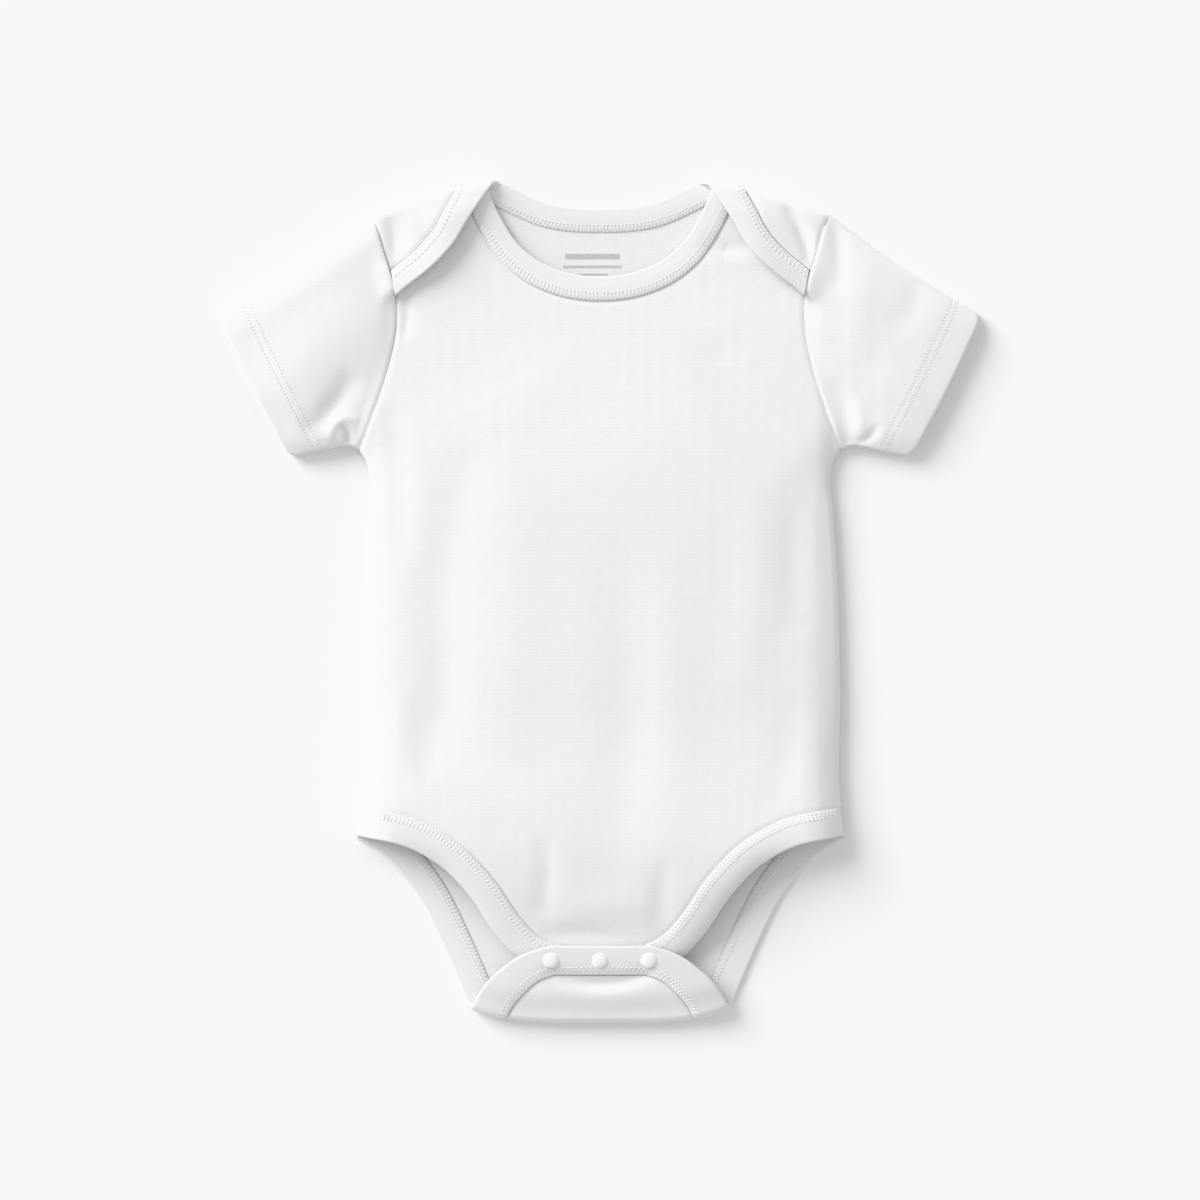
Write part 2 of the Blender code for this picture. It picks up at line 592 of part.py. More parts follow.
def snaps():
    """Three closed snaps: cap on the flap, socket under it, stud on the front tab."""
    tab = np.array((0.0, SNAP_UP))
    tab_top = float(front_height(tab[0], tab[1])) + BINDING - CLOTH / 2
    flap = LAID + 2 * CROTCH.radius + CROTCH.rise
    stud_low = tab_top + SNAP_CLEAR
    socket_low = stud_low + STUD_BASE + SNAP_CLEAR
    post_top = socket_low + SOCKET_HEIGHT - SNAP_CLEAR
    cap_low = flap + CLOTH / 2 + SNAP_CLEAR
    for number, across in enumerate(SNAP_ACROSS, 1):
        dome = [(CAP_RADIUS * math.cos(turn), CAP_RIM + (CAP_HEIGHT - CAP_RIM) * math.sin(turn))
                for turn in np.radians(CAP_TURNS)]
        cap = [(0.0, 0.0), (CAP_RADIUS - CAP_RIM, 0.0)] + dome + [(0.0, CAP_HEIGHT)]
        stud = [(0.0, 0.0), (HALF_RADIUS, 0.0), (HALF_RADIUS, STUD_BASE), (POST_RADIUS, STUD_BASE),
                (POST_RADIUS, post_top - stud_low), (0.0, post_top - stud_low)]
        socket = [(SOCKET_BORE, 0.0), (HALF_RADIUS, 0.0), (HALF_RADIUS, SOCKET_HEIGHT),
                  (SOCKET_BORE, SOCKET_HEIGHT)]
        turned(f"snap_cap_{number}", cap, (across, SNAP_UP, cap_low), snap)
        turned(f"snap_socket_{number}", socket, (across, SNAP_UP, socket_low), snap)
        turned(f"snap_stud_{number}", stud, (across, SNAP_UP, stud_low), snap)


def main():
    """Builds every piece."""
    front = front_cut()
    body, flap, lap = back_cut()
    panel("front_panel", [on_front(front)])
    panel("back_panel", [folded(body), folded(flap[::-1]), folded(lap)])
    bindings_front(front)
    bindings_back(body, flap, lap)
    sleeve("sleeve_right", 1)
    sleeve("sleeve_left", -1)
    snaps()


for old in list(bpy.data.objects):
    bpy.data.objects.remove(old, do_unlink=True)
garment = bpy.data.collections.new("baby_bodysuit")
bpy.context.scene.collection.children.link(garment)
jersey = material("jersey", WHITE_JERSEY, 0.9)
rib = material("rib", WHITE_RIB, 0.88)
snap = material("snap", WHITE_SNAP, 0.35)
main()
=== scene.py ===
"""A short-sleeved baby bodysuit, snapped shut and laid flat on its back, dressed on its CAD frame.

The middle of the garment is x = 0, the neck points to +Y and the surface it lies on is z = 0.
Shapes are worked out in millimetres and put into the meshes in metres. The body is drawn as its
right half and mirrored; the creases, which differ from side to side, are added afterwards.
"""

import math
from collections import namedtuple

import bpy
import numpy as np
from bpy.props import FloatProperty, FloatVectorProperty, PointerProperty
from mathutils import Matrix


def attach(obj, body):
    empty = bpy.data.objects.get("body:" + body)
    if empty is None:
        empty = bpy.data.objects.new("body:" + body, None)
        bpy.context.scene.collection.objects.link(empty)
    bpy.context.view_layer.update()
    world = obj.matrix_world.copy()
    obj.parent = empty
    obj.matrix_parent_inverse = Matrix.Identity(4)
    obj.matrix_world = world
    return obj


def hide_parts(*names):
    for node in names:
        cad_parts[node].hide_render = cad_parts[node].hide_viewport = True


bl_info = {
    "name": "Baby bodysuit",
    "version": (1, 0, 0),
    "blender": (4, 5, 0),
    "location": "View3D > Sidebar > Bodysuit",
    "description": "A short-sleeved baby bodysuit with envelope shoulders, laid flat",
    "category": "Add Mesh",
}

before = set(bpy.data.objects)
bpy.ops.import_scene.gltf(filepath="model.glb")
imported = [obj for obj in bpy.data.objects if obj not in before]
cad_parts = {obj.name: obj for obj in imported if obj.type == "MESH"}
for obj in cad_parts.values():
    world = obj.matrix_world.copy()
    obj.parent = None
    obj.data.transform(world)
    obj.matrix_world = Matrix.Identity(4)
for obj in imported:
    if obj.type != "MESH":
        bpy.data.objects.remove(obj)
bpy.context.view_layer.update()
MM = 0.001


def table(kind, *rows):
    """Rows of that kind."""
    return [kind(*row) for row in rows]


# ---- cloth ----
CLOTH = 1.2             # jersey wall
BINDING = 1.8           # folded rib strip
SEAM_GAP = 0.14         # between two pieces that are sewn together
RUN_ON = 40.0           # how far a binding's edge may run on to where it ends
STRIP_FOOT = 0.7        # how high a binding's shown side starts at its seam
STRIP_RISE = 0.5        # what it rises
STRIP_ROUND = 0.9       # about this far from the seam
STRIP_CROWN = 0.3       # and what it rises further in the middle
NECK_BINDING = 12.7     # width of the neck bindings
LEG_BINDING = 15.2      # width of the leg bindings
LEG_END = 20.0          # stretch over which a front leg edge is brought to the side seam's end
HEM = 16.0              # depth of the turned sleeve hem
HEM_WALL = 1.8          # the two layers of the hem
LAID = CLOTH / 2        # middle of a layer that lies on the surface

# ---- how the front rises over the back ----
Crown = namedtuple("Crown", "up height")    # of the front's cloth, up the body
CROWNS = table(
    Crown, (-190, 6.0), (-168, 9.8), (-140, 13.8), (-112, 13.0), (-70, 10.0), (0, 8.4), (80, 7.5),
    (160, 5.0), (196, 3.0), (225, 2.9))
CROWN_BLEND = 16.0      # how far along the body each crown blends with its neighbours
SIDE_LOW = 1.95         # middle of the front cloth at the side seam, just above the back
SIDE_ROUND = 1.8        # width over which it curves up from there
SIDE_HEIGHT = 5.0       # to this
CORNER_LIFT = 0.6       # what the front gains at its lower corners over the leg binding
CORNER_UP = (-85.0, -100.0)             # up the body: none of it, all of it
ROLL = 18.0             # width over which the front rises from the side seam
ROLL_POWER = 2.2        # and how much faster it does at first
LEG_DROP = 1.2          # how far the front bends down to its leg edges
LEG_DROP_OVER = 19.0    # the width in which it does
LEG_ROLL = 1.2          # how far it rolls down further at the very edge
LEG_ROLL_OVER = 5.0     # the width in which it does
LEG_DROP_ACROSS = (108.0, 78.0)         # from the middle: none of both, all of both
DOME = 4.0              # how much fuller the front is in its middle than near its sides
DOME_ENDS = (-150.0, 0.0, 40.0, 170.0)  # up the body: none, full, full, none
DOME_HALF = 117.0       # from the middle to where it ends
LOFT = 0.25             # how much higher everything lies that doesn't touch the surface
LOFT_FROM = 1.2         # the height from which on it does
DRAWN_IN = 0.0007       # what a place is drawn in by for every mm of its height, as a share
SHOULDER_CURL = 1.0     # how far the shoulder folds stand up
SHOULDER_REACH = 14.0   # how far from the fold that goes
SHOULDER_FOLD = np.array(((62.0, 217.0), (112.0, 203.0)))

# ---- seams, drawn from the middle outwards ----
Seam = namedtuple("Seam", "across up layer")
UNDER, OVER = 0, 1      # OVER is a stretch seen on a flap, after its fold


def seam_line(*places, layer=UNDER):
    """The rows of a seam, each given as across and up."""
    return [Seam(across, up, layer) for across, up in places]


SIDE = seam_line((127.1, -121.7), (124.4, -98), (124.8, -48), (123.4, 5), (121.0, 46),
                 (119.7, 66), (121.6, 74), (125.3, 79.3))
ARMHOLE = seam_line((125.3, 79.3), (118, 99.8), (110.5, 123.2), (106.4, 146.6), (107.3, 163),
                    (112.6, 182), (118.9, 202.4))
NECK_FRONT = seam_line((0, 157), (20.8, 159.6), (41.6, 169), (52, 178.1), (62.9, 194.5),
                       (73, 217))
NECK_BACK = seam_line((0, 192.4), (31.2, 195.8), (52, 204.9)) + seam_line(
    (81.4, 205), (87, 194.5), (96, 184), (109.2, 173), layer=OVER)
LEG_FRONT = seam_line((24, -178.8), (31.5, -175), (41.6, -164.8), (54.5, -146),
                      (72.8, -126.6), (93.6, -114.4), (125.2, -106.8))
LEG_BACK = seam_line((23.5, -194.5), (31.5, -197.4), (41.6, -206.2), layer=OVER) + seam_line(
    (57.5, -197), (68.1, -172.6), (82.9, -144), (103, -120.5), (125.2, -107))
FLAP_END = seam_line((109.2, 173.0), (106.5, 158.0), layer=OVER)

# ---- folds ----
Fold = namedtuple("Fold", "across up out_x out_y half drop power radius rise")
CROTCH = Fold(0.0, -216.0, 0.0, -1.0, 68.0, 8.0, 4, 2.8, 1.6)
SHOULDER = Fold(89.1, 210.2, 0.276, 0.961, 30.6, 2.4, 2, 2.1, 0.0)
CROTCH_RISE_OVER = 13.0 # how far past the crotch fold its rise takes
TAB_UNDER = 3.0         # how far the end of the front reaches under the crotch flap
CROTCH_TILT = 4.4       # what the crotch flap rises further from its fold to its free edge
CROTCH_TILT_OVER = 40.0 # how far that is
SHOULDER_LAP = 2.7      # height of the front's cloth inside the shoulder fold
SHOULDER_PUFF = 1.3     # how much fuller a shoulder flap is near the neck
SHOULDER_PUFF_OVER = 12.0
SHOULDER_TILT = 1.9     # what it rises there from its fold to its free edge
SHOULDER_TILT_OVER = 30.0
SHOULDER_ACROSS = (78.0, 112.0)         # from the middle: all of both, none of both
LAP_SHORT = 1.0         # how far inside the shoulder fold the front ends
FLAP_CORNER = 0.2       # what the shoulder flap lacks of its sharp corner
ON_TOP = (2.0, 5.0)     # heights at which cloth counts as on the surface, and as on the front

# ---- sleeve ----
SLEEVE_TOP = seam_line((118.8, 202.3), (135.2, 189.8), (156, 175.5), (176.8, 162.8),
                       (199.0, 149.6))
SLEEVE_UNDER = seam_line((125.3, 79.3), (131.6, 81.4), (138.8, 80.3), (148.2, 78.4),
                         (162.2, 75.9))
SLEEVE_LENGTH = 95.0    # along its top
CUFF_WIDTH = 82.0
CUFF_BOW = 1.2          # how far the middle of the cuff's edge stands out
CUFF_CORNER = 2.4       # how much of the cuff's corners is rounded away
CUFF_CORNER_OVER = 6.0  # from how far in
Ring = namedtuple("Ring", "along edge crown")   # height of a sleeve's edge and of its middle
RINGS = table(
    Ring, (0.0, 4.4, 6.7), (0.04, 4.6, 6.7), (0.16, 5.2, 7.1), (0.3, 5.6, 7.4), (0.6, 5.8, 7.7),
    (0.78, 5.6, 7.5), (0.9, 5.4, 7.0), (1.0, 5.2, 6.6))
HemRing = namedtuple("HemRing", "near depth")   # from the cuff, and inside the outer face
HEM_RINGS = table(
    HemRing, (1.2, 0.0), (0.6, 0.05), (0.2, 0.3), (0.0, 0.7), (0.0, 1.1), (0.2, 1.5),
    (0.6, 1.75), (1.2, HEM_WALL), (4.0, HEM_WALL), (8.0, HEM_WALL), (12.0, HEM_WALL),
    (HEM, HEM_WALL), (HEM + 1, CLOTH))
Head = namedtuple("Head", "down rise")      # how much higher the sleeve lies next to the flap
HEADS = table(
    Head, (0.0, 0.2), (0.12, 0.2), (0.2, 0.6), (0.24, 1.4), (0.32, 1.8), (0.37, -1.1),
    (0.42, -1.0), (0.49, -0.6), (0.57, -0.2), (0.65, 0.1), (0.73, 0.4), (0.81, 0.6), (1.0, 0.6))
HEAD_REACH = 0.13       # how far along the sleeve that goes
UPPER_OVER = 3.5        # from its edge to where the sleeve's upper side takes its creases in full
EDGE_ROUND = 1.6        # how far in the rounding of a sleeve's edge reaches
EDGE_RISE = 13.4        # and how far on its upper side goes on rising
EDGE_POWER = 2.2        # how much faster it does at first

# ---- creases: soft ridges (high > 0) and troughs (high < 0) along short, slightly bent lines ----
Crease = namedtuple("Crease", "x0 y0 x1 y1 bend wide high")
CREASE_REACH = 0.6
FRONT_CREASES = table(
    Crease, (-108, 96, -105, 26, 2, 6.0, -0.8), (-70, 70, -80, -60, -6, 13.0, -0.9),
    (-80, -30, -96, -90, 3, 12.0, -0.6), (-46, 70, -50, -70, 4, 16.0, 0.4),
    (12, 20, 6, -140, 5, 15.0, -0.7), (34, 20, 36, -120, 3, 14.0, 0.4),
    (105, 66, 104, -10, -2, 8.0, -0.8), (80, 56, 76, -40, 3, 11.0, 0.6),
    (56, 187, 78, 186, -2, 5.0, -0.8), (50, 174, 82, 180, 2, 6.0, 0.25),
    (-102, 162, -101, 140, 1, 3.0, -0.8), (-29, -128, -30, -160, 2, 6.0, -0.8),
    (34, -140, 34, -172, -2, 6.0, -0.7), (-26, -173, 6, -174, 1, 4.0, -0.8),
    (-14, -160, 20, -161, 1, 8.0, 0.6), (-96, -100, -104, -50, 2, 8.0, 0.5),
    (92, -100, 100, -56, -2, 9.0, -0.5), (-20, 124, -66, 92, 4, 18.0, 0.4),
    (58, 124, 92, 88, -4, 14.0, -0.4), (-60, -92, -20, -120, 3, 14.0, 0.4),
    (120.5, 100, 122.5, 58, 1, 4.5, -1.5))
FLAP_CREASES = table(
    Crease, (-108, 198, -107, 176, 1, 4.0, -1.0), (-99, 199, -97, 180, 1, 5.0, 0.4),
    (98, 203, 109, 179, 2, 3.0, -1.6), (106, 201, 115, 182, 2, 4.0, 0.7))
CROTCH_CREASES = table(
    Crease, (-25, -193.5, 25, -193.5, -5.0, 3.8, -1.8), (-26, -203, 26, -203, -4, 7.0, 0.5))
SLEEVE_CREASES = table(
    Crease, (-131, 115, -151, 90, 2, 6.0, -1.5), (-141, 86, -127, 95, 5, 2.4, 0.9),
    (-134.0, 91.0, -130.5, 83, 1.0, 1.8, -1.4), (-170, 105, -124, 148, 2, 24.0, 2.0),
    (-176, 100, -160, 78, 2, 7.0, -0.6), (123, 112, 129, 84, 2, 4.5, -0.8),
    (134, 103, 136, 86, 1, 3.4, 0.4), (144, 90, 136, 84, 1, 2.4, -0.9),
    (121.5, 200, 124.5, 166, 1.5, 4.6, -1.1), (166, 172, 156, 144, 3, 8.0, -0.7),
    (148, 116, 172, 100, 2, 12.0, 0.5), (140, 170, 136, 130, -3, 9.0, 0.5))

# ---- how bright light is shown: true up to the surface's own brightness, then levelling off ----
Tone = namedtuple("Tone", "light shown")
BRIGHTEST = 2.0
TONES = table(
    Tone, (0.3, 0.3), (0.6, 0.6), (0.8, 0.8), (0.88, 0.88), (0.94, 0.938), (1.0, 0.955),
    (1.2, 0.966), (1.5, 0.97), (2.0, 0.975))

# ---- stitching ----
LADDER_NEAR, LADDER_FAR = 0.9, 4.1      # the two needle rows, from the seam
Stitch = namedtuple("Stitch", "leaves arrives start end")   # its rows, and its ends as shares
LADDER = table(
    Stitch, (LADDER_NEAR, LADDER_FAR, 0.05, 0.5), (LADDER_NEAR, LADDER_NEAR, 0.1, 0.85),
    (LADDER_FAR, LADDER_FAR, 0.1, 0.85))
SPINDLE = ((0.12, 0.75), (0.5, 1.0), (0.88, 0.75))     # a thread's rings: how far along, how wide
LADDER_THREAD = 0.55    # its thickness
HEM_THREAD = 0.5
HEM_START = 2.4         # the first stitch of the hem, from the sleeve's edge
HEM_STITCH = 0.62       # its length as a share of the pitch
HEM_ROWS = (13.5, 17.3)                 # the two needle rows of the hem, from the cuff

# ---- snaps ----
SNAP_ACROSS = (-25.5, 0.0, 25.5)
SNAP_UP = -186.6
CAP_RADIUS = 4.4
CAP_HEIGHT = 1.4
CAP_LIP = 0.3           # height of its rim
CAP_SEAT = 1.15         # its foot above the middle of the cloth, sunk a little into the binding

# ---- stage, in metres ----
FLOOR_REACH = 6.0
FLOOR_LOW = -0.0003
KEY_PLACE = (-0.95, 0.80, 0.60)         # the light from there shines on the middle
LENS, SENSOR = 85.0, 36.0               # in millimetres
SEEN_WIDTH = 0.624                      # what the camera sees of the plane at SEEN_HEIGHT
SEEN_HEIGHT = 0.004
CAMERA_PLACE = (0.0, 0.00104, SEEN_WIDTH * LENS / SENSOR + SEEN_HEIGHT)

# ---- how closely the cloth is divided ----
COLUMNS = 58            # from the middle to where the front rolls down
FRONT_TAB, FRONT_NECK = 15, 37          # from the middle to the front's corners
BACK_CROTCH, BACK_NECK = 27, 37         # and to the back's
NEAR_SIDE = np.array((12.0, 10.2, 8.4, 6.8, 5.3, 4.0, 2.8, 1.8, 1.0, 0.5, 0.18, 0.0))
NEAR_SEAM = np.array((0.0, 0.4, 0.9, 1.5, 2.3, 3.3, 4.6))
BODY_HALF = 125.0       # from the middle to the side seam
BODY_LENGTH = 370.0
BODY_ROWS = 170
FLAP_ROW = 1.8          # between the rows of a flap
WELD = 0.02             # points this close together are one
NEAR_STRIP_SEAM = np.array((0.0, 0.25, 0.6, 1.0, 1.6))
NEAR_SLEEVE_EDGE = np.array((0.0, 0.1, 0.35, 0.7, 1.1, 1.6, 2.4, 3.4, 4.6, 6.0, 7.6, 9.4, 11.2,
                             13, 15))
SLEEVE_ROWS, SLEEVE_COLUMNS = 44, 42
CAP_SIDES = 48


# ---- lines in the plane ----
def smooth(share):
    """A soft step from 0 to 1: 3 s^2 - 2 s^3."""
    share = np.clip(share, 0, 1)
    return share * share * (3 - 2 * share)


def quarter(share):
    """A quarter of a circle: steep at 0, level at 1 and after."""
    return np.sqrt(1 - (1 - np.clip(share, 0, 1)) ** 2)


def levelling(share, power):
    """From 0 to 1, level at 1 and after: 1 - (1 - s)^power."""
    return 1 - (1 - np.clip(share, 0, 1)) ** power


def between_ends(place, ends):
    """A soft step from 0 at the first end to 1 at the second."""
    return smooth((place - ends[0]) / (ends[1] - ends[0]))


def lengths(line):
    """Length along a line up to each of its points."""
    return np.concatenate(([0.0], np.cumsum(np.linalg.norm(np.diff(line, axis=0), axis=1))))


def at_lengths(line, wanted):
    """Points of a line at the wanted lengths, between its points in a straight line."""
    reach = lengths(line)
    return np.stack([np.interp(wanted, reach, line[:, axis]) for axis in (0, 1)], axis=1)


def even(line, count):
    """A line again, as evenly spaced points."""
    return at_lengths(line, np.linspace(0, lengths(line)[-1], count))


def through(rows):
    """A smooth line through the rows: a cubic for each stretch, sloped by its neighbours."""
    points = np.array([unfolded(row) for row in rows])
    reach = lengths(points)
    slopes = np.gradient(points, reach, axis=0)
    if points[0, 0] == 0:
        slopes[0, 1] = 0.0
    fine = np.linspace(0, reach[-1], 400)
    first = np.clip(np.searchsorted(reach, fine, side="right") - 1, 0, len(points) - 2)
    span = (reach[first + 1] - reach[first])[:, None]
    t = (fine - reach[first])[:, None] / span
    start, end = points[first], points[first + 1]
    leave, arrive = slopes[first] * span, slopes[first + 1] * span
    return (start * (1 + 2 * t) * (1 - t) ** 2 + leave * t * (1 - t) ** 2
            + end * t * t * (3 - 2 * t) + arrive * t * t * (t - 1))


def moved(line, distance):
    """A line moved sideways, to the left of its direction."""
    direction = np.gradient(line, axis=0)
    direction /= np.linalg.norm(direction, axis=1)[:, None]
    return line + distance * np.stack((-direction[:, 1], direction[:, 0]), axis=1)


def raised(place, height):
    """Places in the plane with a height as their third number."""
    return np.concatenate((place, height[..., None]), axis=-1)


def distance_to(line, across, up):
    """Distance of each place in the plane from a line."""
    place = np.stack((across, up), axis=-1)[..., None, :]
    start, run = line[:-1], np.diff(line, axis=0)
    share = np.clip(((place - start) * run).sum(-1) / np.maximum((run * run).sum(-1), 1e-9), 0, 1)
    return np.linalg.norm(place - start - share[..., None] * run, axis=-1).min(-1)


def crease_line(crease):
    """A crease's line: straight from end to end, plus a parabola that bends it to its left."""
    share = np.linspace(0, 1, 9)[:, None]
    start, end = np.array((crease.x0, crease.y0)), np.array((crease.x1, crease.y1))
    run = end - start
    left = np.array((-run[1], run[0])) / np.linalg.norm(run)
    return start + share * run + crease.bend * 4 * share * (1 - share) * left


def relief(creases, across, up):
    """Sum of the creases.

    Each is its height times exp(-(distance from its line / width)^2), faded out round its middle
    by exp(-(distance from its middle / reach)^2), where reach is a share of its length and half
    its width.
    """
    total = np.zeros(np.shape(across))
    for crease in creases:
        line = crease_line(crease)
        aside = distance_to(line, across, up) / crease.wide
        reach = CREASE_REACH * np.linalg.norm(line[-1] - line[0]) + crease.wide / 2
        away = np.hypot(across - line[4, 0], up - line[4, 1]) / reach
        total += crease.high * np.exp(-aside ** 2 - away ** 2)
    return total * look().crease_strength


def dip(distance):
    """How far cloth sinks towards a seam: a bell of the seam's depth over its width."""
    return look().seam_depth / MM * np.exp(-(distance / (look().seam_width / MM)) ** 2)


def spanned(bottom, top, inner, outer, ends, u, v):
    """Places between four lines: the two ruled surfaces less the one through the corners.

    The lines come as their points at u or v, and ends as the bottom's two and the top's two.
    """
    corners = ((1 - u) * (1 - v) * ends[0] + u * (1 - v) * ends[1]
               + (1 - u) * v * ends[2] + u * v * ends[3])
    return (1 - v) * bottom + v * top + (1 - u) * inner + u * outer - corners


# ---- folding ----
def beyond(fold, place):
    """How far a place of the unfolded cloth lies past the start of a fold."""
    offset = place - np.array((fold.across, fold.up))
    out = np.array((fold.out_x, fold.out_y))
    along = offset @ np.array((out[1], -out[0]))
    behind = fold.drop * np.minimum(np.abs(along) / fold.half, 1.2) ** fold.power
    return offset @ out + behind


def unfolded(row):
    """The place of a seam's row on the unfolded cloth."""
    place = np.array((row.across, row.up), float)
    if row.layer == UNDER:
        return place
    fold = CROTCH if row.up < 0 else SHOULDER
    inside = -beyond(fold, place)
    return place + np.array((fold.out_x, fold.out_y)) * (2 * inside + math.pi * fold.radius)


def crotch_tilt(flat):
    """What the crotch flap rises towards its free edge: less near its fold than further up."""
    share = np.minimum(flat / CROTCH_TILT_OVER, 1)
    return CROTCH_TILT * (0.9 * share + 0.1 * share ** 2)


def folded(place, lift=0.0):
    """Folds unfolded cloth over at the crotch and shoulders.

    Past a fold's start the cloth goes round half a cylinder and then lies flat on top, where its
    height follows what it lies on. lift is a height above the middle of the cloth before folding.
    """
    result = raised(place, np.full(place.shape[:-1], LAID) + lift)
    for fold in (CROTCH, SHOULDER):
        past = beyond(fold, place)
        turn = np.clip(past / fold.radius, 0, math.pi)
        flat = np.maximum(past - math.pi * fold.radius, 0)
        out = np.array((fold.out_x, fold.out_y))
        shift = -past + (fold.radius - lift) * np.sin(turn) - flat
        plane = place + shift[..., None] * out
        if fold is CROTCH:
            rise = fold.rise * smooth(flat / CROTCH_RISE_OVER) + crotch_tilt(flat)
        else:
            armwards = between_ends(plane[..., 0], SHOULDER_ACROSS)
            rise = front_height(plane[..., 0], plane[..., 1]) - SHOULDER_LAP + (1 - armwards) * (
                SHOULDER_PUFF * smooth(flat / SHOULDER_PUFF_OVER)
                + SHOULDER_TILT * flat / SHOULDER_TILT_OVER)
        rise = np.where(flat > 0, rise, 0)
        turned = LAID + fold.radius - (fold.radius - lift) * np.cos(turn) + rise
        result = np.where((past > 0)[..., None], raised(plane, turned), result)
    return result


# ---- the shapes that the pieces share ----
side_line = through(SIDE)
armhole_line = through(ARMHOLE)
under_line = through(SLEEVE_UNDER)
rim_line = even(np.vstack((side_line, under_line[1:])), 160)
leg_edge = even(moved(through(LEG_FRONT), -LEG_BINDING), 60)
shoulder_out = np.array((SHOULDER.out_x, SHOULDER.out_y))


def front_height(across, up):
    """Middle of the front cloth: the crown along the body, rolled down towards the side seam.

    The crown is fuller in the middle by a parabola, drops towards the leg edges by two more,
    and curves in to just above the back at the very rim.
    """
    crown = sum(np.interp(up + shift, [row.up for row in CROWNS], [row.height for row in CROWNS])
                for shift in np.linspace(-CROWN_BLEND, CROWN_BLEND, 9)) / 9
    across = np.abs(across)
    seam = np.minimum(SIDE_HEIGHT + CORNER_LIFT * between_ends(up, CORNER_UP), crown)
    from_rim = distance_to(rim_line, across, up)
    turn = quarter(from_rim / SIDE_ROUND)
    full = between_ends(up, DOME_ENDS[:2]) * (1 - between_ends(up, DOME_ENDS[2:]))
    dome = DOME * full * (1 - np.minimum(across / DOME_HALF, 1) ** 2)
    from_leg = distance_to(leg_edge, across, up)
    drop = (LEG_DROP * np.clip(1 - from_leg / LEG_DROP_OVER, 0, 1) ** 2
            + LEG_ROLL * np.clip(1 - from_leg / LEG_ROLL_OVER, 0, 1) ** 2)
    drop = drop * between_ends(across, LEG_DROP_ACROSS)
    risen = seam + (crown - seam) * levelling(from_rim / ROLL, ROLL_POWER) + dome - drop
    return np.where(crown > SIDE_LOW, SIDE_LOW + (risen - SIDE_LOW) * turn, risen)


def lofted(points):
    """Points raised above the surface by a share of their height, and round the shoulder folds.

    Each shoulder fold adds a bell: SHOULDER_CURL * e^-(distance / its reach)^2. The higher a
    point then lies, the further in it's drawn.
    """
    points = points.copy()
    across, up = np.abs(points[..., 0]), points[..., 1]
    bell = np.exp(-(distance_to(SHOULDER_FOLD, across, up) / SHOULDER_REACH) ** 2)
    points[..., 2] += LOFT * np.maximum(points[..., 2] - LOFT_FROM, 0) + SHOULDER_CURL * bell
    points[..., :2] *= 1 - DRAWN_IN * points[..., 2:]
    return points


def on_front(place, lift=0.0):
    """Lays places of the front on its rising shape."""
    return raised(place, front_height(place[..., 0], place[..., 1]) + lift)


def cut_at_fold(line, fold, early=0.0):
    """A line in two: up to the start of a fold, or a little before it, and from there on."""
    past = beyond(fold, line) + early
    cut = int(np.argmax(past > 0))
    share = past[cut - 1] / (past[cut - 1] - past[cut])
    at_start = line[cut - 1] + share * (line[cut] - line[cut - 1])
    return np.vstack((line[:cut], at_start)), np.vstack((at_start, line[cut:]))


def body_levels():
    """Shares up the body: close together by the lower and upper seams, even between them."""
    near = NEAR_SEAM / BODY_LENGTH
    return np.concatenate((near, np.linspace(near[-1], 1 - near[-1], BODY_ROWS)[1:-1],
                           1 - near[::-1]))


def outer_line(leg_end, armhole, levels):
    """The outer edge of a body half: side seam, then armhole, at the levels."""
    above_leg = side_line[:, 1] > leg_end[1] + 1
    below_arm = side_line[:, 1] < armhole[0, 1] - 1
    whole = np.vstack((leg_end, side_line[above_leg & below_arm], armhole))
    return at_lengths(whole, levels * lengths(whole)[-1])


def columns(line, corner, inner_count, outer_count):
    """Points of a line from the middle outwards: close together by its corner and at its end."""
    total = lengths(line)[-1]
    near = NEAR_SEAM[1:]
    inner = np.linspace(0, corner - near[-1], inner_count + 1 - len(near))
    outer = np.linspace(corner + near[-1], total - ROLL, outer_count + 1 - len(near))
    return at_lengths(line, np.concatenate((inner, corner - near[-2::-1], (corner,),
                                            corner + near[:-1], outer, total - NEAR_SIDE)))


def body_grid(bottom_parts, top_parts, armhole, counts):
    """A body half between its lower line, its upper line, its middle and its outer edge."""
    lower = np.vstack((bottom_parts[0], bottom_parts[1][1:]))
    upper = np.vstack((top_parts[0], top_parts[1][1:]))
    bottom = columns(lower, lengths(bottom_parts[0])[-1], counts[0], counts[1])
    top = columns(upper, lengths(top_parts[0])[-1], counts[2], counts[3])
    levels = body_levels()
    outer = outer_line(lower[-1], armhole, levels)
    up = lower[0, 1] + levels * (upper[0, 1] - lower[0, 1])
    shares = np.concatenate((np.linspace(0, BODY_HALF - ROLL, COLUMNS + 1),
                             BODY_HALF - NEAR_SIDE)) / BODY_HALF
    middle = np.stack((0 * up, up), axis=1)
    grid = spanned(bottom[None], top[None], middle[:, None], outer[:, None],
                   (bottom[0], bottom[-1], top[0], top[-1]),
                   shares[None, :, None], levels[:, None, None])
    grid[:, 0, 0] = 0.0
    return grid


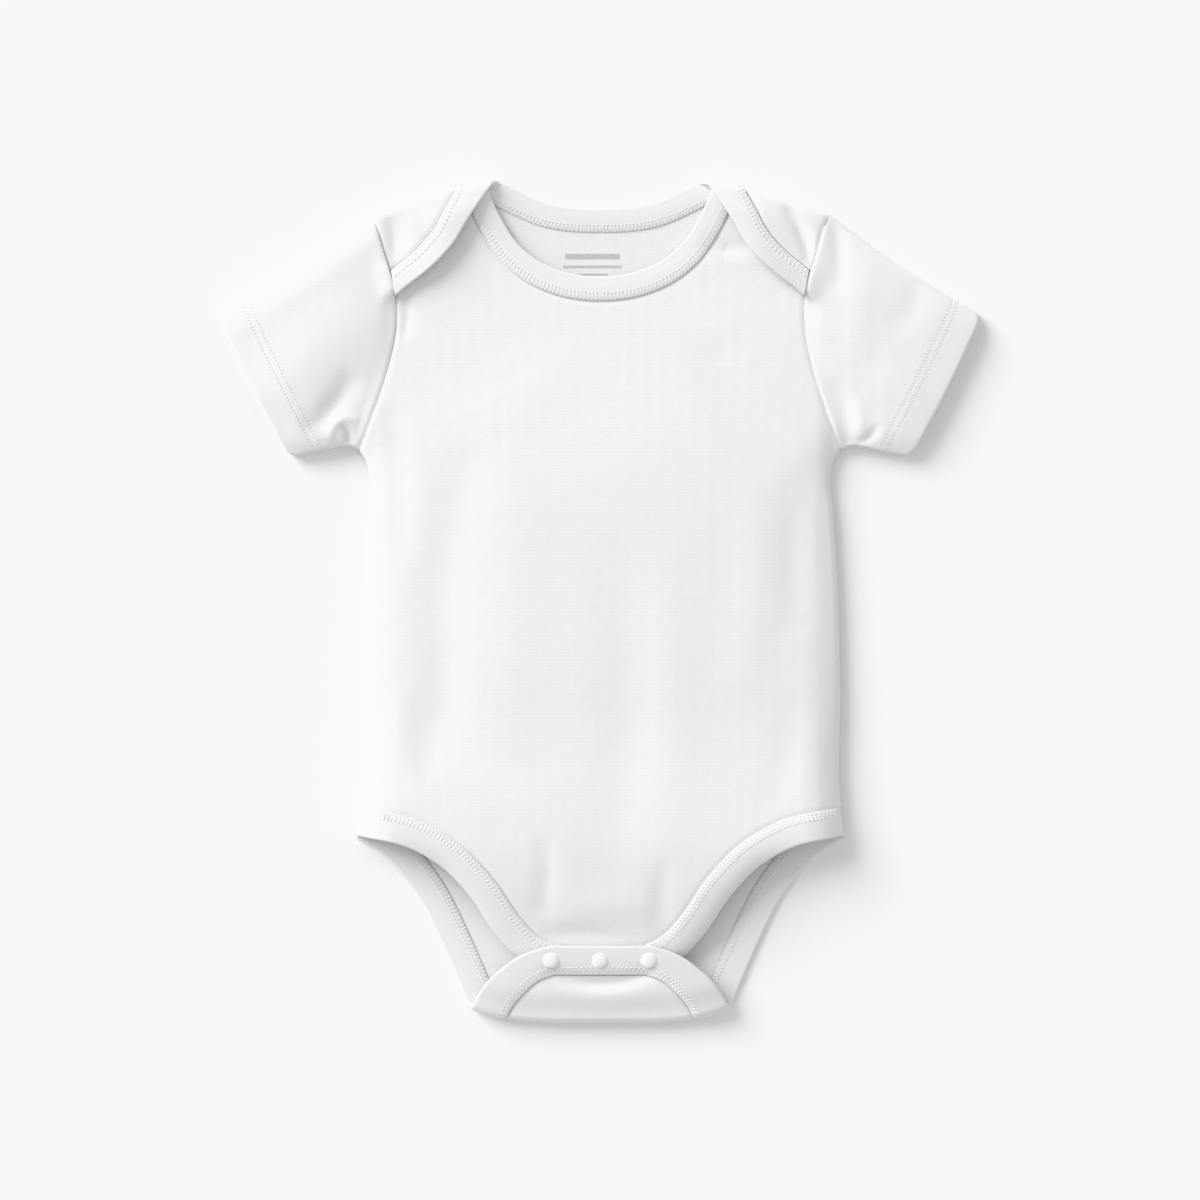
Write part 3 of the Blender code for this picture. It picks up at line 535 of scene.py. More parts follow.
def front_cut():
    """The front body as cut: neckline, shoulder laps, armholes, side seams and crotch tab."""
    leg = moved(through(LEG_FRONT), SEAM_GAP / 2)
    tab = np.linspace((0.0, leg[0, 1]), leg[0], 30)
    tab[:, 1] -= TAB_UNDER * np.sqrt(1 - (tab[:, 0] / leg[0, 0]) ** 2)
    neck = cut_at_fold(moved(through(NECK_FRONT), -SEAM_GAP / 2), SHOULDER, LAP_SHORT)[0]
    armhole = cut_at_fold(moved(armhole_line, SEAM_GAP / 2), SHOULDER, LAP_SHORT)[0]
    shoulder = np.linspace(neck[-1], armhole[-1], 40)
    counts = (FRONT_TAB, COLUMNS - FRONT_TAB, FRONT_NECK, COLUMNS - FRONT_NECK)
    return body_grid((tab, leg), (neck, shoulder), armhole, counts)


def at_depths(line, fold, depths):
    """Points of a line at the wanted distances past the start of a fold."""
    past = beyond(fold, line)
    order = np.argsort(past)
    return np.stack([np.interp(depths, past[order], line[order, axis]) for axis in (0, 1)], axis=1)


def flap_depths(fold, deepest):
    """Rows of a flap: close ones round its fold, even ones along it, close ones at its end."""
    half_turn = math.pi * fold.radius
    round_fold = np.linspace(0, half_turn, 13)
    count = int((deepest - half_turn - NEAR_SEAM[-1]) / FLAP_ROW) + 2
    flat = np.linspace(half_turn, deepest - NEAR_SEAM[-1], count)
    return np.concatenate((round_fold, flat[1:], deepest - NEAR_SEAM[-2::-1]))


def crotch_flap(start, leg_flap):
    """The cloth from the crotch fold to the straight end of its flap."""
    depths = flap_depths(CROTCH, beyond(CROTCH, leg_flap).max())
    half_width = at_depths(leg_flap, CROTCH, depths)[:, 0]
    across = half_width[:, None] * np.linspace(0, 1, len(start))
    flap = np.stack((across, np.full_like(across, CROTCH.up)), axis=-1)
    flap[..., 1] -= beyond(CROTCH, flap) * CROTCH.out_y + depths[:, None]
    flap[0] = start
    return flap


def shoulder_flap(start, neck_flap, armhole):
    """The cloth from the shoulder fold to the corner where the flap's edge meets the armhole."""
    inside = -beyond(SHOULDER, armhole)
    half_turn = math.pi * SHOULDER.radius
    turned_arm = armhole + (2 * inside + half_turn)[:, None] * shoulder_out
    arm = np.vstack((start[-1], start[-1] + half_turn * shoulder_out, turned_arm[::-1]))
    depths = flap_depths(SHOULDER, beyond(SHOULDER, neck_flap).max() - FLAP_CORNER)
    neck_side = at_depths(neck_flap, SHOULDER, depths)
    arm_side = at_depths(arm, SHOULDER, depths)
    shares = (lengths(start) / lengths(start)[-1])[None, :, None]
    flap = neck_side[:, None] + shares * (arm_side - neck_side)[:, None]
    flap[0] = start
    return flap


def back_cut():
    """The back body as cut: the body, its crotch flap and its right shoulder flap."""
    leg = moved(through(LEG_BACK), SEAM_GAP / 2)[::-1]
    leg_side, leg_flap = cut_at_fold(leg, CROTCH)
    neck_base, neck_flap = cut_at_fold(moved(through(NECK_BACK), -SEAM_GAP / 2), SHOULDER)
    armhole = cut_at_fold(moved(armhole_line, SEAM_GAP / 2), SHOULDER)[0]
    crotch = np.linspace((0.0, leg_side[-1, 1]), leg_side[-1], 40)
    crotch[:, 1] += beyond(CROTCH, crotch)
    shoulder = np.linspace(neck_base[-1], armhole[-1], 40)
    shoulder -= beyond(SHOULDER, shoulder)[:, None] * shoulder_out
    counts = (BACK_CROTCH, COLUMNS - BACK_CROTCH, BACK_NECK, COLUMNS - BACK_NECK)
    body = body_grid((crotch, leg_side[::-1]), (neck_base, shoulder), armhole, counts)
    flap = crotch_flap(body[0, :BACK_CROTCH + 1], leg_flap)
    lap = shoulder_flap(body[-1, BACK_NECK:], neck_flap, armhole)
    return body, flap, lap


# ---- sizes and colours that a user may change ----
def size(name, description, default, low, high):
    """A length that a user may change, in metres."""
    return FloatProperty(name=name, description=description, default=default, min=low, max=high,
                         unit="LENGTH")


def amount(name, description, default, high, subtype="NONE"):
    """A strength, share or angle that a user may change."""
    return FloatProperty(name=name, description=description, default=default, min=0.0, max=high,
                         subtype=subtype)


def colour(name, description, *default):
    """A colour that a user may change."""
    return FloatVectorProperty(name=name, description=description, default=(*default, 1.0),
                               min=0.0, max=1.0, size=4, subtype="COLOR")


class BodysuitSettings(bpy.types.PropertyGroup):
    """The sizes and colours of the garment."""
    crease_strength: amount(
        "Crease strength", "How deep the creases are, as a share of their tables", 1.0, 1.5)
    seam_depth: size(
        "Seam depth", "How far the cloth sinks towards its seams", 0.00045, 0.0, 0.0012)
    seam_width: size(
        "Seam width", "How far from a seam the cloth sinks", 0.0013, 0.0005, 0.006)
    ladder_pitch: size(
        "Ladder pitch", "Distance between the rungs of the ladder stitch", 0.0021, 0.001, 0.004)
    hem_pitch: size(
        "Hem pitch", "Distance between the stitches of the sleeve hem", 0.0018, 0.001, 0.004)
    jersey_colour: colour("Jersey", "Colour of the jersey", 0.83, 0.83, 0.827)
    rib_colour: colour("Rib", "Colour of the bindings", 0.805, 0.805, 0.802)
    thread_colour: colour("Thread", "Colour of the sewing thread", 0.87, 0.87, 0.87)
    snap_colour: colour("Snaps", "Colour of the snaps", 0.87, 0.87, 0.87)
    mark_colour: colour(
        "Plain marks", "Colour of the plain bars inside the neck", 0.17, 0.17, 0.18)
    floor_colour: colour("Floor", "Colour of the surface below", 0.9, 0.9, 0.9)
    key_strength: amount(
        "Key light", "Strength of the soft light from the upper left", 2.95, 20.0)
    key_softness: amount(
        "Key softness", "How wide the light from the upper left is", math.radians(36),
        math.pi / 2, "ANGLE")
    sky_strength: amount("Sky", "Strength of the even light from all round", 0.645, 3.0)


def look():
    """The settings of this scene."""
    return bpy.context.scene.bodysuit


# ---- materials ----
class Value:
    """A number on its way through a material's nodes: arithmetic on it adds Math nodes."""

    def __init__(self, finish, socket):
        self.finish, self.socket = finish, socket

    def math(self, operation, *others):
        """This number and the others through a Math node."""
        sockets = {place + 1: other for place, other in enumerate(others)}
        made = self.finish.node("ShaderNodeMath", {"operation": operation}, {0: self, **sockets})
        return Value(self.finish, made.outputs[0])

    def __add__(self, other):
        return self.math("ADD", other)

    def __mul__(self, other):
        return self.math("MULTIPLY", other)

    def __rsub__(self, other):
        return (self * -1.0).math("ADD", other)

    __radd__, __rmul__ = __add__, __mul__

    def wave(self, pitch):
        """From -1 to 1 and back over each pitch."""
        return (self * (2 * math.pi / pitch)).math("SINE")

    def above(self, edge, soft):
        """A mask that rises from 0 to 1 round the edge."""
        made = self.finish.node(
            "ShaderNodeMapRange", {"interpolation_type": "SMOOTHSTEP"},
            {0: self, 1: edge - soft / 2, 2: edge + soft / 2})
        return Value(self.finish, made.outputs[0])

    def between(self, low, high, soft):
        """A mask that is 1 between two edges."""
        return self.above(low, soft) * (1 - self.above(high, soft))


class Finish:
    """A material being made; its constant values stand on the shader's own sockets."""

    def __init__(self, name, **constants):
        self.material = bpy.data.materials.new(name)
        self.material.use_nodes = True
        self.tree = self.material.node_tree
        self.shader = self.tree.nodes["Principled BSDF"]
        for socket, value in constants.items():
            self.shader.inputs[socket.replace("_", " ")].default_value = value

    def node(self, kind, settings=None, sockets=None):
        """A node of that kind, with its settings first and then its sockets' values or links."""
        made = self.tree.nodes.new(kind)
        for name, value in (settings or {}).items():
            setattr(made, name, value)
        for name, value in (sockets or {}).items():
            self.feed(made.inputs[name], value)
        return made

    def feed(self, socket, value):
        """Puts a value on a socket, or links one to it."""
        if isinstance(value, Value):
            self.tree.links.new(value.socket, socket)
        elif isinstance(value, bpy.types.NodeSocket):
            self.tree.links.new(value, socket)
        else:
            socket.default_value = value

    def places(self):
        """The place on the object, as three values."""
        place = self.node("ShaderNodeTexCoord").outputs["Object"]
        parts = self.node("ShaderNodeSeparateXYZ", None, {0: place})
        return place, [Value(self, part) for part in parts.outputs]

    def on_cloth(self):
        """The distances along and across a strip or tube, from its own map."""
        spot = self.node("ShaderNodeUVMap", {"uv_map": "cloth"}).outputs[0]
        parts = self.node("ShaderNodeSeparateXYZ", None, {0: spot})
        return Value(self, parts.outputs[0]), Value(self, parts.outputs[1])

    def noise(self, place, scale, detail=3.0):
        """Noise between 0 and 1 with that many blobs a metre."""
        made = self.node("ShaderNodeTexNoise", None, {
            "Vector": place, "Scale": scale, "Detail": detail, "Roughness": 0.55})
        return Value(self, made.outputs[0])

    def mixed(self, share, first, second):
        """A colour between two."""
        return self.node("ShaderNodeMix", {"data_type": "RGBA"},
                         {0: share, 6: first, 7: second}).outputs[2]

    def bump(self, height, distance, strength=1.0, under=None):
        """Raises the surface by a height between 0 and 1 times the distance."""
        sockets = {"Height": height, "Distance": distance, "Strength": strength}
        if under is not None:
            sockets["Normal"] = under
        return self.node("ShaderNodeBump", None, sockets).outputs[0]

    def wear(self, tone, roughness, normal):
        """Feeds the sockets that vary over the surface."""
        self.feed(self.shader.inputs["Base Color"], tone)
        self.feed(self.shader.inputs["Roughness"], roughness)
        self.feed(self.shader.inputs["Normal"], normal)
        return self.material


def darker(tint, share):
    """A colour made darker by a share."""
    return tuple(part * (1 - share) for part in tint[:3]) + (1.0,)


SOFT = {"Sheen_Weight": 0.25, "Sheen_Roughness": 0.5, "Specular_IOR_Level": 0.25, "Metallic": 0.0}
KNIT_PITCH = 0.0011     # between the jersey's rows of loops, in metres
RIB_PITCH = 0.0013      # between the rib's ridges
PLY_PITCH = 0.0004      # between the turns of the thread
ROW_HALF = 0.45         # half the width of a dented row of the hem, in millimetres
EDGE_SOFT = 0.0004      # over which a printed bar fades
Bar = namedtuple("Bar", "left right low high")      # the plain bars inside the neck
BARS = table(
    Bar, (-0.0182, 0.0104, 0.1784, 0.1814), (-0.0192, 0.0114, 0.1738, 0.1753),
    (-0.0106, 0.0040, 0.1700, 0.1710))
BACK_INSIDE = (0.0003, 0.0018)          # heights between which the back's inner side lies


def shaded(finish, share, tint, depth=0.035):
    """A colour that is up to a depth darker where the share is low."""
    return finish.mixed(share, darker(tint, depth), tuple(tint))


def jersey_cloth(name):
    """White interlock jersey: rows of loops, each a bump, with soft slubs; not yet fed."""
    finish = Finish(name, **SOFT)
    place, (x, y, z) = finish.places()
    loops = x.wave(KNIT_PITCH).math("ABSOLUTE") * (0.75 + y.wave(KNIT_PITCH * 1.6) * 0.25)
    grain = finish.noise(place, 900.0, 2.0)
    slubs = finish.noise(place, 95.0)
    fine = finish.bump(loops * 0.6 + grain * 0.4, 0.00016, 0.5)
    normal = finish.bump(slubs, 0.0005, 0.35, fine)
    tone = shaded(finish, grain * 0.5 + slubs * 0.5, look().jersey_colour)
    return finish, (x, y, z), grain, tone, normal


def jersey_finish():
    """Plain jersey."""
    finish, _, grain, tone, normal = jersey_cloth("white_jersey")
    return finish.wear(tone, 0.86 + grain * 0.1, normal)


def marked_finish():
    """Jersey with plain bars on its inner side, below the back of the neck."""
    finish, (x, y, z), grain, tone, normal = jersey_cloth("white_jersey_marked")
    bars = 0.0
    for bar in BARS:
        bars = x.between(bar.left, bar.right, EDGE_SOFT) * y.between(
            bar.low, bar.high, EDGE_SOFT) + bars
    worn = bars * z.between(*BACK_INSIDE, EDGE_SOFT / 2) * (0.3 + grain * 0.3)
    tone = finish.mixed(worn, tone, tuple(look().mark_colour))
    return finish.wear(tone, 0.86 + grain * 0.1, normal)


def sleeve_finish():
    """Jersey with two dented rows of twin needle stitches round the hem, darkened in the dents as
    painted shade.
    """
    finish, _, grain, tone, normal = jersey_cloth("white_jersey_hemmed")
    from_cuff, down = finish.on_cloth()
    rows = 0.0
    for row in HEM_ROWS:
        rows = from_cuff.between((row - ROW_HALF) * MM, (row + ROW_HALF) * MM, 0.0005) + rows
    holes = rows * (down.wave(look().hem_pitch) * 0.5 + 0.5)
    normal = finish.bump(1 - holes, 0.0003, 0.5, normal)
    # painted shade: the tone is darkened in the needle dents, where shade would fall
    tone = finish.mixed(holes * 0.18, tone, darker(look().jersey_colour, 0.3))
    return finish.wear(tone, 0.86 + grain * 0.1, normal)


def rib_finish():
    """White fine rib: ridges across the strip, with slubs as in the jersey, and painted shade in
    the grooves between the ridges.
    """
    finish = Finish("white_rib", **SOFT)
    place, _ = finish.places()
    along, _ = finish.on_cloth()
    ribs = along.wave(RIB_PITCH) * 0.5 + 0.5
    grain = finish.noise(place, 1000.0, 2.0)
    slubs = finish.noise(place, 120.0)
    fine = finish.bump(ribs * 0.7 + grain * 0.3, 0.00012, 0.3)
    normal = finish.bump(slubs, 0.0004, 0.3, fine)
    # the tone varies at random with grain and slubs, and is darker between the ridges as painted
    # shade
    tone = shaded(finish, grain * 0.4 + slubs * 0.4 + ribs * 0.2, look().rib_colour)
    return finish.wear(tone, 0.84 + grain * 0.1, normal)


def thread_finish():
    """Twisted sewing thread: fine slanting ply on a slightly glossy white, darker between the
    turns as painted shade.
    """
    finish = Finish("thread", Sheen_Weight=0.15, Specular_IOR_Level=0.35, Metallic=0.0)
    _, (x, y, _) = finish.places()
    ply = (x + y).wave(PLY_PITCH) * 0.5 + 0.5
    # darker between the turns of the ply: painted shade
    tone = shaded(finish, ply, look().thread_colour, 0.06)
    return finish.wear(tone, 0.6 + ply * 0.15, finish.bump(ply, 0.00006, 0.5))


def snap_finish():
    """Moulded white plastic with a satin skin and the faintest ripple."""
    finish = Finish("snap_plastic", Specular_IOR_Level=0.45, Coat_Weight=0.1, Coat_Roughness=0.3,
                    Metallic=0.0)
    place, _ = finish.places()
    ripple = finish.noise(place, 700.0, 2.0)
    haze = finish.noise(place, 2600.0, 2.0)
    tone = shaded(finish, ripple, look().snap_colour, 0.03)
    return finish.wear(tone, 0.38 + haze * 0.12, finish.bump(ripple, 0.00008, 0.4))


def floor_finish():
    """A plain pale painted surface."""
    finish = Finish("floor", Specular_IOR_Level=0.1, Metallic=0.0)
    place, _ = finish.places()
    mottle = finish.noise(place, 12.0, 2.0)
    tone = shaded(finish, mottle, look().floor_colour, 0.004)
    return finish.wear(tone, 0.9 + mottle * 0.05, finish.bump(mottle, 0.00002, 0.1))


def finish_of(name, maker):
    """The material of that name, made when it is first asked for."""
    return bpy.data.materials.get(name) or maker()


# ---- making Blender objects ----
def grid_faces(count, across, first=0, closed=False):
    """Quads of a grid of points, numbered row by row; closed joins its last column on."""
    corner = first + np.arange(count * across).reshape(count, across)
    if closed:
        corner = np.concatenate((corner, corner[:, :1]), axis=1)
    return np.stack((corner[:-1, :-1], corner[:-1, 1:], corner[1:, 1:], corner[1:, :-1]),
                    -1).reshape(-1, 4)


def piece(name, points, faces, finish, node=None, cloth_map=None):
    """An object of the garment from points in millimetres, riding on the frame."""
    points = lofted(points.reshape(-1, 3))
    mesh = bpy.data.meshes.new(name)
    mesh.from_pydata((points * MM).tolist(), [], faces)
    mesh.update()
    mesh.shade_smooth()
    if cloth_map is not None:
        corner = np.empty(len(mesh.loops), dtype=np.int32)
        mesh.loops.foreach_get("vertex_index", corner)
        spots = cloth_map.reshape(-1, 2)[corner] * MM
        mesh.uv_layers.new(name="cloth").data.foreach_set("uv", spots.ravel())
    mesh.materials.append(finish)
    made = bpy.data.objects.new(name, mesh)
    bpy.context.scene.collection.objects.link(made)
    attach(made, "root")
    if node:
        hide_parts(node)
    return made


def cloth_piece(name, grids, node, finish):
    """A panel of jersey: its grids welded into one surface that gets its wall."""
    faces, first = [], 0
    for grid in grids:
        faces += grid_faces(grid.shape[0], grid.shape[1], first).tolist()
        first += grid.shape[0] * grid.shape[1]
    points = np.concatenate([grid.reshape(-1, 3) for grid in grids])
    made = piece(name, points, faces, finish, node)
    weld = made.modifiers.new("patches", "WELD")
    weld.merge_threshold = WELD * MM
    wall = made.modifiers.new("wall", "SOLIDIFY")
    wall.thickness = CLOTH * MM
    wall.offset = 0.0
    return made


def both_halves(half, axis):
    """A right half and its mirror image, joined where x = 0, as one grid along the axis."""
    half = np.moveaxis(half, axis, 0)
    left = half[:0:-1] * ((-1,) + (1,) * (half.shape[-1] - 1))
    return np.moveaxis(np.concatenate((left, half)), 0, axis)


def creased(points, creases, weight=1.0):
    """Points raised and lowered by the creases above and below them."""
    points = points.copy()
    points[..., 2] += relief(creases, points[..., 0], points[..., 1]) * weight
    return points


def on_top(points):
    """0 for cloth that lies on the surface, 1 for a flap that lies over the front."""
    return between_ends(points[..., 2], ON_TOP)


# ---- the body ----
def front_surface(cut):
    """The front: its rising shape, sunk towards its seams and creased."""
    half = on_front(cut)
    across, up = cut[..., 0], cut[..., 1]
    for seam in (NECK_FRONT, LEG_FRONT, ARMHOLE):
        half[..., 2] -= dip(distance_to(even(through(seam), 70), across, up))
    return creased(both_halves(half, 1), FRONT_CREASES)


def back_surfaces(body, flap, lap):
    """The back laid flat, with its flaps folded over, sunk towards their seams and creased."""
    base = both_halves(folded(body), 1)
    leg_line = even(through(LEG_BACK), 90)
    end_line = np.array(((0.0, leg_line[0, 1]), leg_line[0]))
    turned = folded(flap)
    near = np.minimum(distance_to(leg_line, flap[..., 0], flap[..., 1]),
                      distance_to(end_line, flap[..., 0], flap[..., 1]))
    turned[..., 2] -= dip(near) * on_top(turned)
    turned = both_halves(turned, 1)
    turned = creased(turned, CROTCH_CREASES, on_top(turned))
    right = folded(lap)
    near = distance_to(even(through(NECK_BACK), 90), lap[..., 0], lap[..., 1])
    near = np.minimum(near, distance_to(even(armhole_line, 60), right[..., 0], right[..., 1]))
    right[..., 2] -= dip(near) * on_top(right)
    left = right[:, ::-1] * (-1, 1, 1)
    laps = [creased(side, FLAP_CREASES, on_top(side)) for side in (right, left)]
    return [base, turned[::-1]] + laps


class BODYSUIT_OT_body(bpy.types.Operator):
    """Make the front and the back of the body"""
    bl_idname = "bodysuit.body"
    bl_label = "Body"

    def execute(self, context):
        """Each panel is a grid between its seams; the back's flaps turn over at their folds."""
        front = cloth_piece("front_body", [front_surface(front_cut())], "front_panel",
                            finish_of("white_jersey", jersey_finish))
        back = cloth_piece("back_body", back_surfaces(*back_cut()), "back_panel",
                           finish_of("white_jersey_marked", marked_finish))
        if not (len(front.data.polygons) and len(back.data.polygons)):
            raise RuntimeError("the body has no faces")
        return {"FINISHED"}


# ---- the bindings ----
Strip = namedtuple("Strip", "seam edge shape fold creases")


def ended_on(line, point, out):
    """A line cut, or run on straight, where it meets the line through point across out."""
    run = (line[-1] - line[-6]) / np.linalg.norm(line[-1] - line[-6])
    line = np.vstack((line, line[-1] + RUN_ON * run))
    past = (line - point) @ out
    cut = int(np.argmax(past > 0))
    share = past[cut - 1] / (past[cut - 1] - past[cut])
    return np.vstack((line[:cut], line[cut - 1] + share * (line[cut] - line[cut - 1])))


def alike(line, stations):
    """Points of a line at the shares of its length that the stations have of theirs."""
    return at_lengths(line, lengths(stations) / lengths(stations)[-1] * lengths(line)[-1])


def past_fold(line, stations, fold):
    """Points of a line that crosses a fold, each as far past the fold as its station there."""
    depths = beyond(fold, stations)
    turning = (depths > -0.01) & (depths < math.pi * fold.radius + 0.01)
    base, flap = cut_at_fold(line, fold)
    rest = cut_at_fold(flap, fold, -math.pi * fold.radius)[1]
    first, last = np.flatnonzero(turning)[[0, -1]]
    crossing = at_depths(flap[:len(flap) - len(rest) + 2], fold, depths[first:last + 1])
    return np.vstack((alike(base, stations[:first + 1])[:-1], crossing,
                      alike(rest, stations[last:])[1:]))


def strips():
    """The seam and the free edge of each binding, from the edges of the panels."""
    front = front_cut()
    seam = moved(front[-1, :FRONT_NECK + 1], SEAM_GAP)
    edge = moved(through(NECK_FRONT), NECK_BINDING)
    edge = alike(cut_at_fold(edge, SHOULDER, LAP_SHORT)[0], seam)
    made = {"neck_binding_front": Strip(seam, edge, on_front, None, FRONT_CREASES)}
    seam = moved(front[0], -SEAM_GAP)
    edge = moved(front[0], -LEG_BINDING - SEAM_GAP / 2)
    near_end = smooth(1 - (lengths(edge)[-1] - lengths(edge)) / LEG_END)
    edge = edge + near_end[:, None] * (np.array(SIDE[0][:2], float) - edge[-1])
    made["leg_binding_front"] = Strip(seam, edge, on_front, None, FRONT_CREASES)

    body, flap, lap = back_cut()
    arm_end, arm_low = (unfolded(row) for row in FLAP_END)
    out = np.array((arm_low - arm_end)[::-1]) * (-1, 1)
    out /= np.linalg.norm(out) * np.sign(out[0])
    panel_edge = np.vstack((body[-1, :BACK_NECK + 1], lap[1:, 0]))
    seam = ended_on(moved(panel_edge, SEAM_GAP), arm_end - SEAM_GAP / 2 * out, out)
    edge = ended_on(moved(through(NECK_BACK), NECK_BINDING), arm_end - SEAM_GAP / 2 * out, out)
    made["neck_binding_back"] = Strip(seam, past_fold(edge, seam, SHOULDER), folded, SHOULDER,
                                      FLAP_CREASES)
    panel_edge = np.vstack((flap[-1], flap[-2::-1, -1], body[0, BACK_CROTCH + 1:]))
    seam = moved(panel_edge, -SEAM_GAP)
    edge = even(moved(panel_edge, -LEG_BINDING - SEAM_GAP / 2), 400)
    edge = edge[edge[:, 0] < SIDE[0].across]
    edge = past_fold(edge[::-1], seam[::-1], CROTCH)[::-1]
    made["leg_binding_back"] = Strip(seam, edge, folded, CROTCH, CROTCH_CREASES)
    return made


def turned_over(strip, places):
    """0 where the strip's upper side shows, 1 where a fold has turned its lower side up."""
    if strip.fold is None:
        return np.zeros(len(places))
    return smooth(beyond(strip.fold, places) / (math.pi * strip.fold.radius))


def shown_lift(from_seam, share):
    """Height of a strip's shown side: a bell lower at the seam, half a sine wave across it."""
    rounded = 1 - np.exp(-(from_seam / STRIP_ROUND) ** 2)
    return STRIP_FOOT + STRIP_RISE * rounded + STRIP_CROWN * np.sin(np.pi * share)


def strip_surface(strip):
    """A folded rib strip: a closed section, flat below, round at its free edge and crowned."""
    width = np.linalg.norm(strip.edge - strip.seam, axis=1)[:, None]
    over = turned_over(strip, strip.seam)[:, None]
    turn = np.radians(np.linspace(-90, 90, 9))[None, :]
    edge_share = 1 + (np.cos(turn) - 1) * (BINDING / 2) / width
    in_seam = NEAR_STRIP_SEAM[None, :] / width
    middle = np.linspace(0.22, 0.88, 6)[None, :] + 0 * width
    lower = np.concatenate((in_seam, middle), axis=1)
    shown = shown_lift(lower * width, lower)
    low = -CLOTH / 2 * (1 - over) - shown * over
    high = (BINDING - CLOTH / 2) * over + shown * (1 - over)
    low_end, high_end = low[:, -1:], high[:, -1:]
    edge_lift = (low_end + high_end) / 2 + (high_end - low_end) / 2 * np.sin(turn)
    share = np.concatenate((lower, edge_share, lower[:, ::-1]), axis=1)
    lift = np.concatenate((low, edge_lift, high[:, ::-1]), axis=1)
    run = strip.edge - strip.seam
    places = strip.seam[:, None] + share[..., None] * run[:, None]
    points = strip.shape(places, lift)
    points[0, :, 0] = 0.0
    along = np.broadcast_to(lengths(strip.seam)[:, None], share.shape)
    return points, np.stack((along, share * width), axis=-1)


def binding(name, strip):
    """A binding across the whole garment: its right half, mirrored, creased and closed."""
    half, spots = strip_surface(strip)
    points = both_halves(half, 0)
    spots = both_halves(spots, 0)
    weight = 1.0 if strip.fold is None else on_top(points)
    points = creased(points, strip.creases, weight)
    count, around = points.shape[:2]
    faces = grid_faces(count, around, 0, closed=True)
    run, across = strip.seam[1] - strip.seam[0], strip.edge[0] - strip.seam[0]
    faces = faces.tolist() + [list(range(around))[::-1],
                              list(range((count - 1) * around, count * around))]
    if run[0] * across[1] - run[1] * across[0] < 0:
        faces = [face[::-1] for face in faces]
    return piece(name + "_cloth", points, faces, finish_of("white_rib", rib_finish), name,
                 spots)


class BODYSUIT_OT_bindings(bpy.types.Operator):
    """Make the bindings of the neck and the legs"""
    bl_idname = "bodysuit.bindings"
    bl_label = "Bindings"

    def execute(self, context):
        """Each binding is one closed section carried along its seam and over its fold."""
        made = strips()
        for edge in ("neck", "leg"):
            for side in ("front", "back"):
                binding(f"{edge}_binding_{side}", made[f"{edge}_binding_{side}"])
        return {"FINISHED"}


# ---- the sleeves ----
def line_at(line, share):
    """Points of a line at shares of its length, in the shape of the shares."""
    return at_lengths(line, np.ravel(share) * lengths(line)[-1]).reshape(np.shape(share) + (2,))


def sleeve_place(down, along):
    """A place of the sleeve: down from its top fold, and along from the armhole to the cuff."""
    top, under = through(SLEEVE_TOP), through(SLEEVE_UNDER)
    arm = moved(armhole_line, -SEAM_GAP / 2)[::-1]
    top[0], under[0] = arm[0], arm[-1]
    cuff = np.linspace(top[-1], under[-1], 60)
    run = (cuff[-1] - cuff[0]) / np.linalg.norm(cuff[-1] - cuff[0])
    bow = CUFF_BOW * np.sin(np.linspace(0, math.pi, 60))
    cuff += bow[:, None] * np.array((-run[1], run[0]))
    return spanned(line_at(arm, down), line_at(cuff, down), line_at(top, along),
                   line_at(under, along), (arm[0], arm[-1], cuff[0], cuff[-1]),
                   down[..., None], along[..., None])


def sleeve_length(down):
    """From the armhole straight to the cuff, that far down from the top fold."""
    return np.linalg.norm(sleeve_place(down, 0 * down + 1) - sleeve_place(down, 0 * down), axis=-1)


def sleeve_rings():
    """The rings of the tube: share of its length, depth inside its outer face, and from the cuff.

    They run along the outer face to the cuff, turn there, and run back inside to the armhole.
    """
    out = np.concatenate((NEAR_SEAM / SLEEVE_LENGTH, np.linspace(0.07, 0.95, SLEEVE_ROWS)))
    near, depth = np.array(HEM_RINGS).T
    back = np.array((0.3, 0.15, 0.0))
    share = np.concatenate((out, 1 - near / SLEEVE_LENGTH, back))
    wall = np.concatenate((0 * out, depth, 0 * back + CLOTH))
    from_cuff = np.concatenate((0 * out - 1, near, 0 * back - 1))
    return share[:, None], wall[:, None], from_cuff[:, None]


def sleeve_section(share):
    """Width of the sleeve, and heights of its edge and middle, at a share of its length."""
    arm_width = lengths(armhole_line)[-1]
    along, edge, crown = zip(*RINGS)
    return (arm_width + (CUFF_WIDTH - arm_width) * share, np.interp(share, along, edge),
            np.interp(share, along, crown))


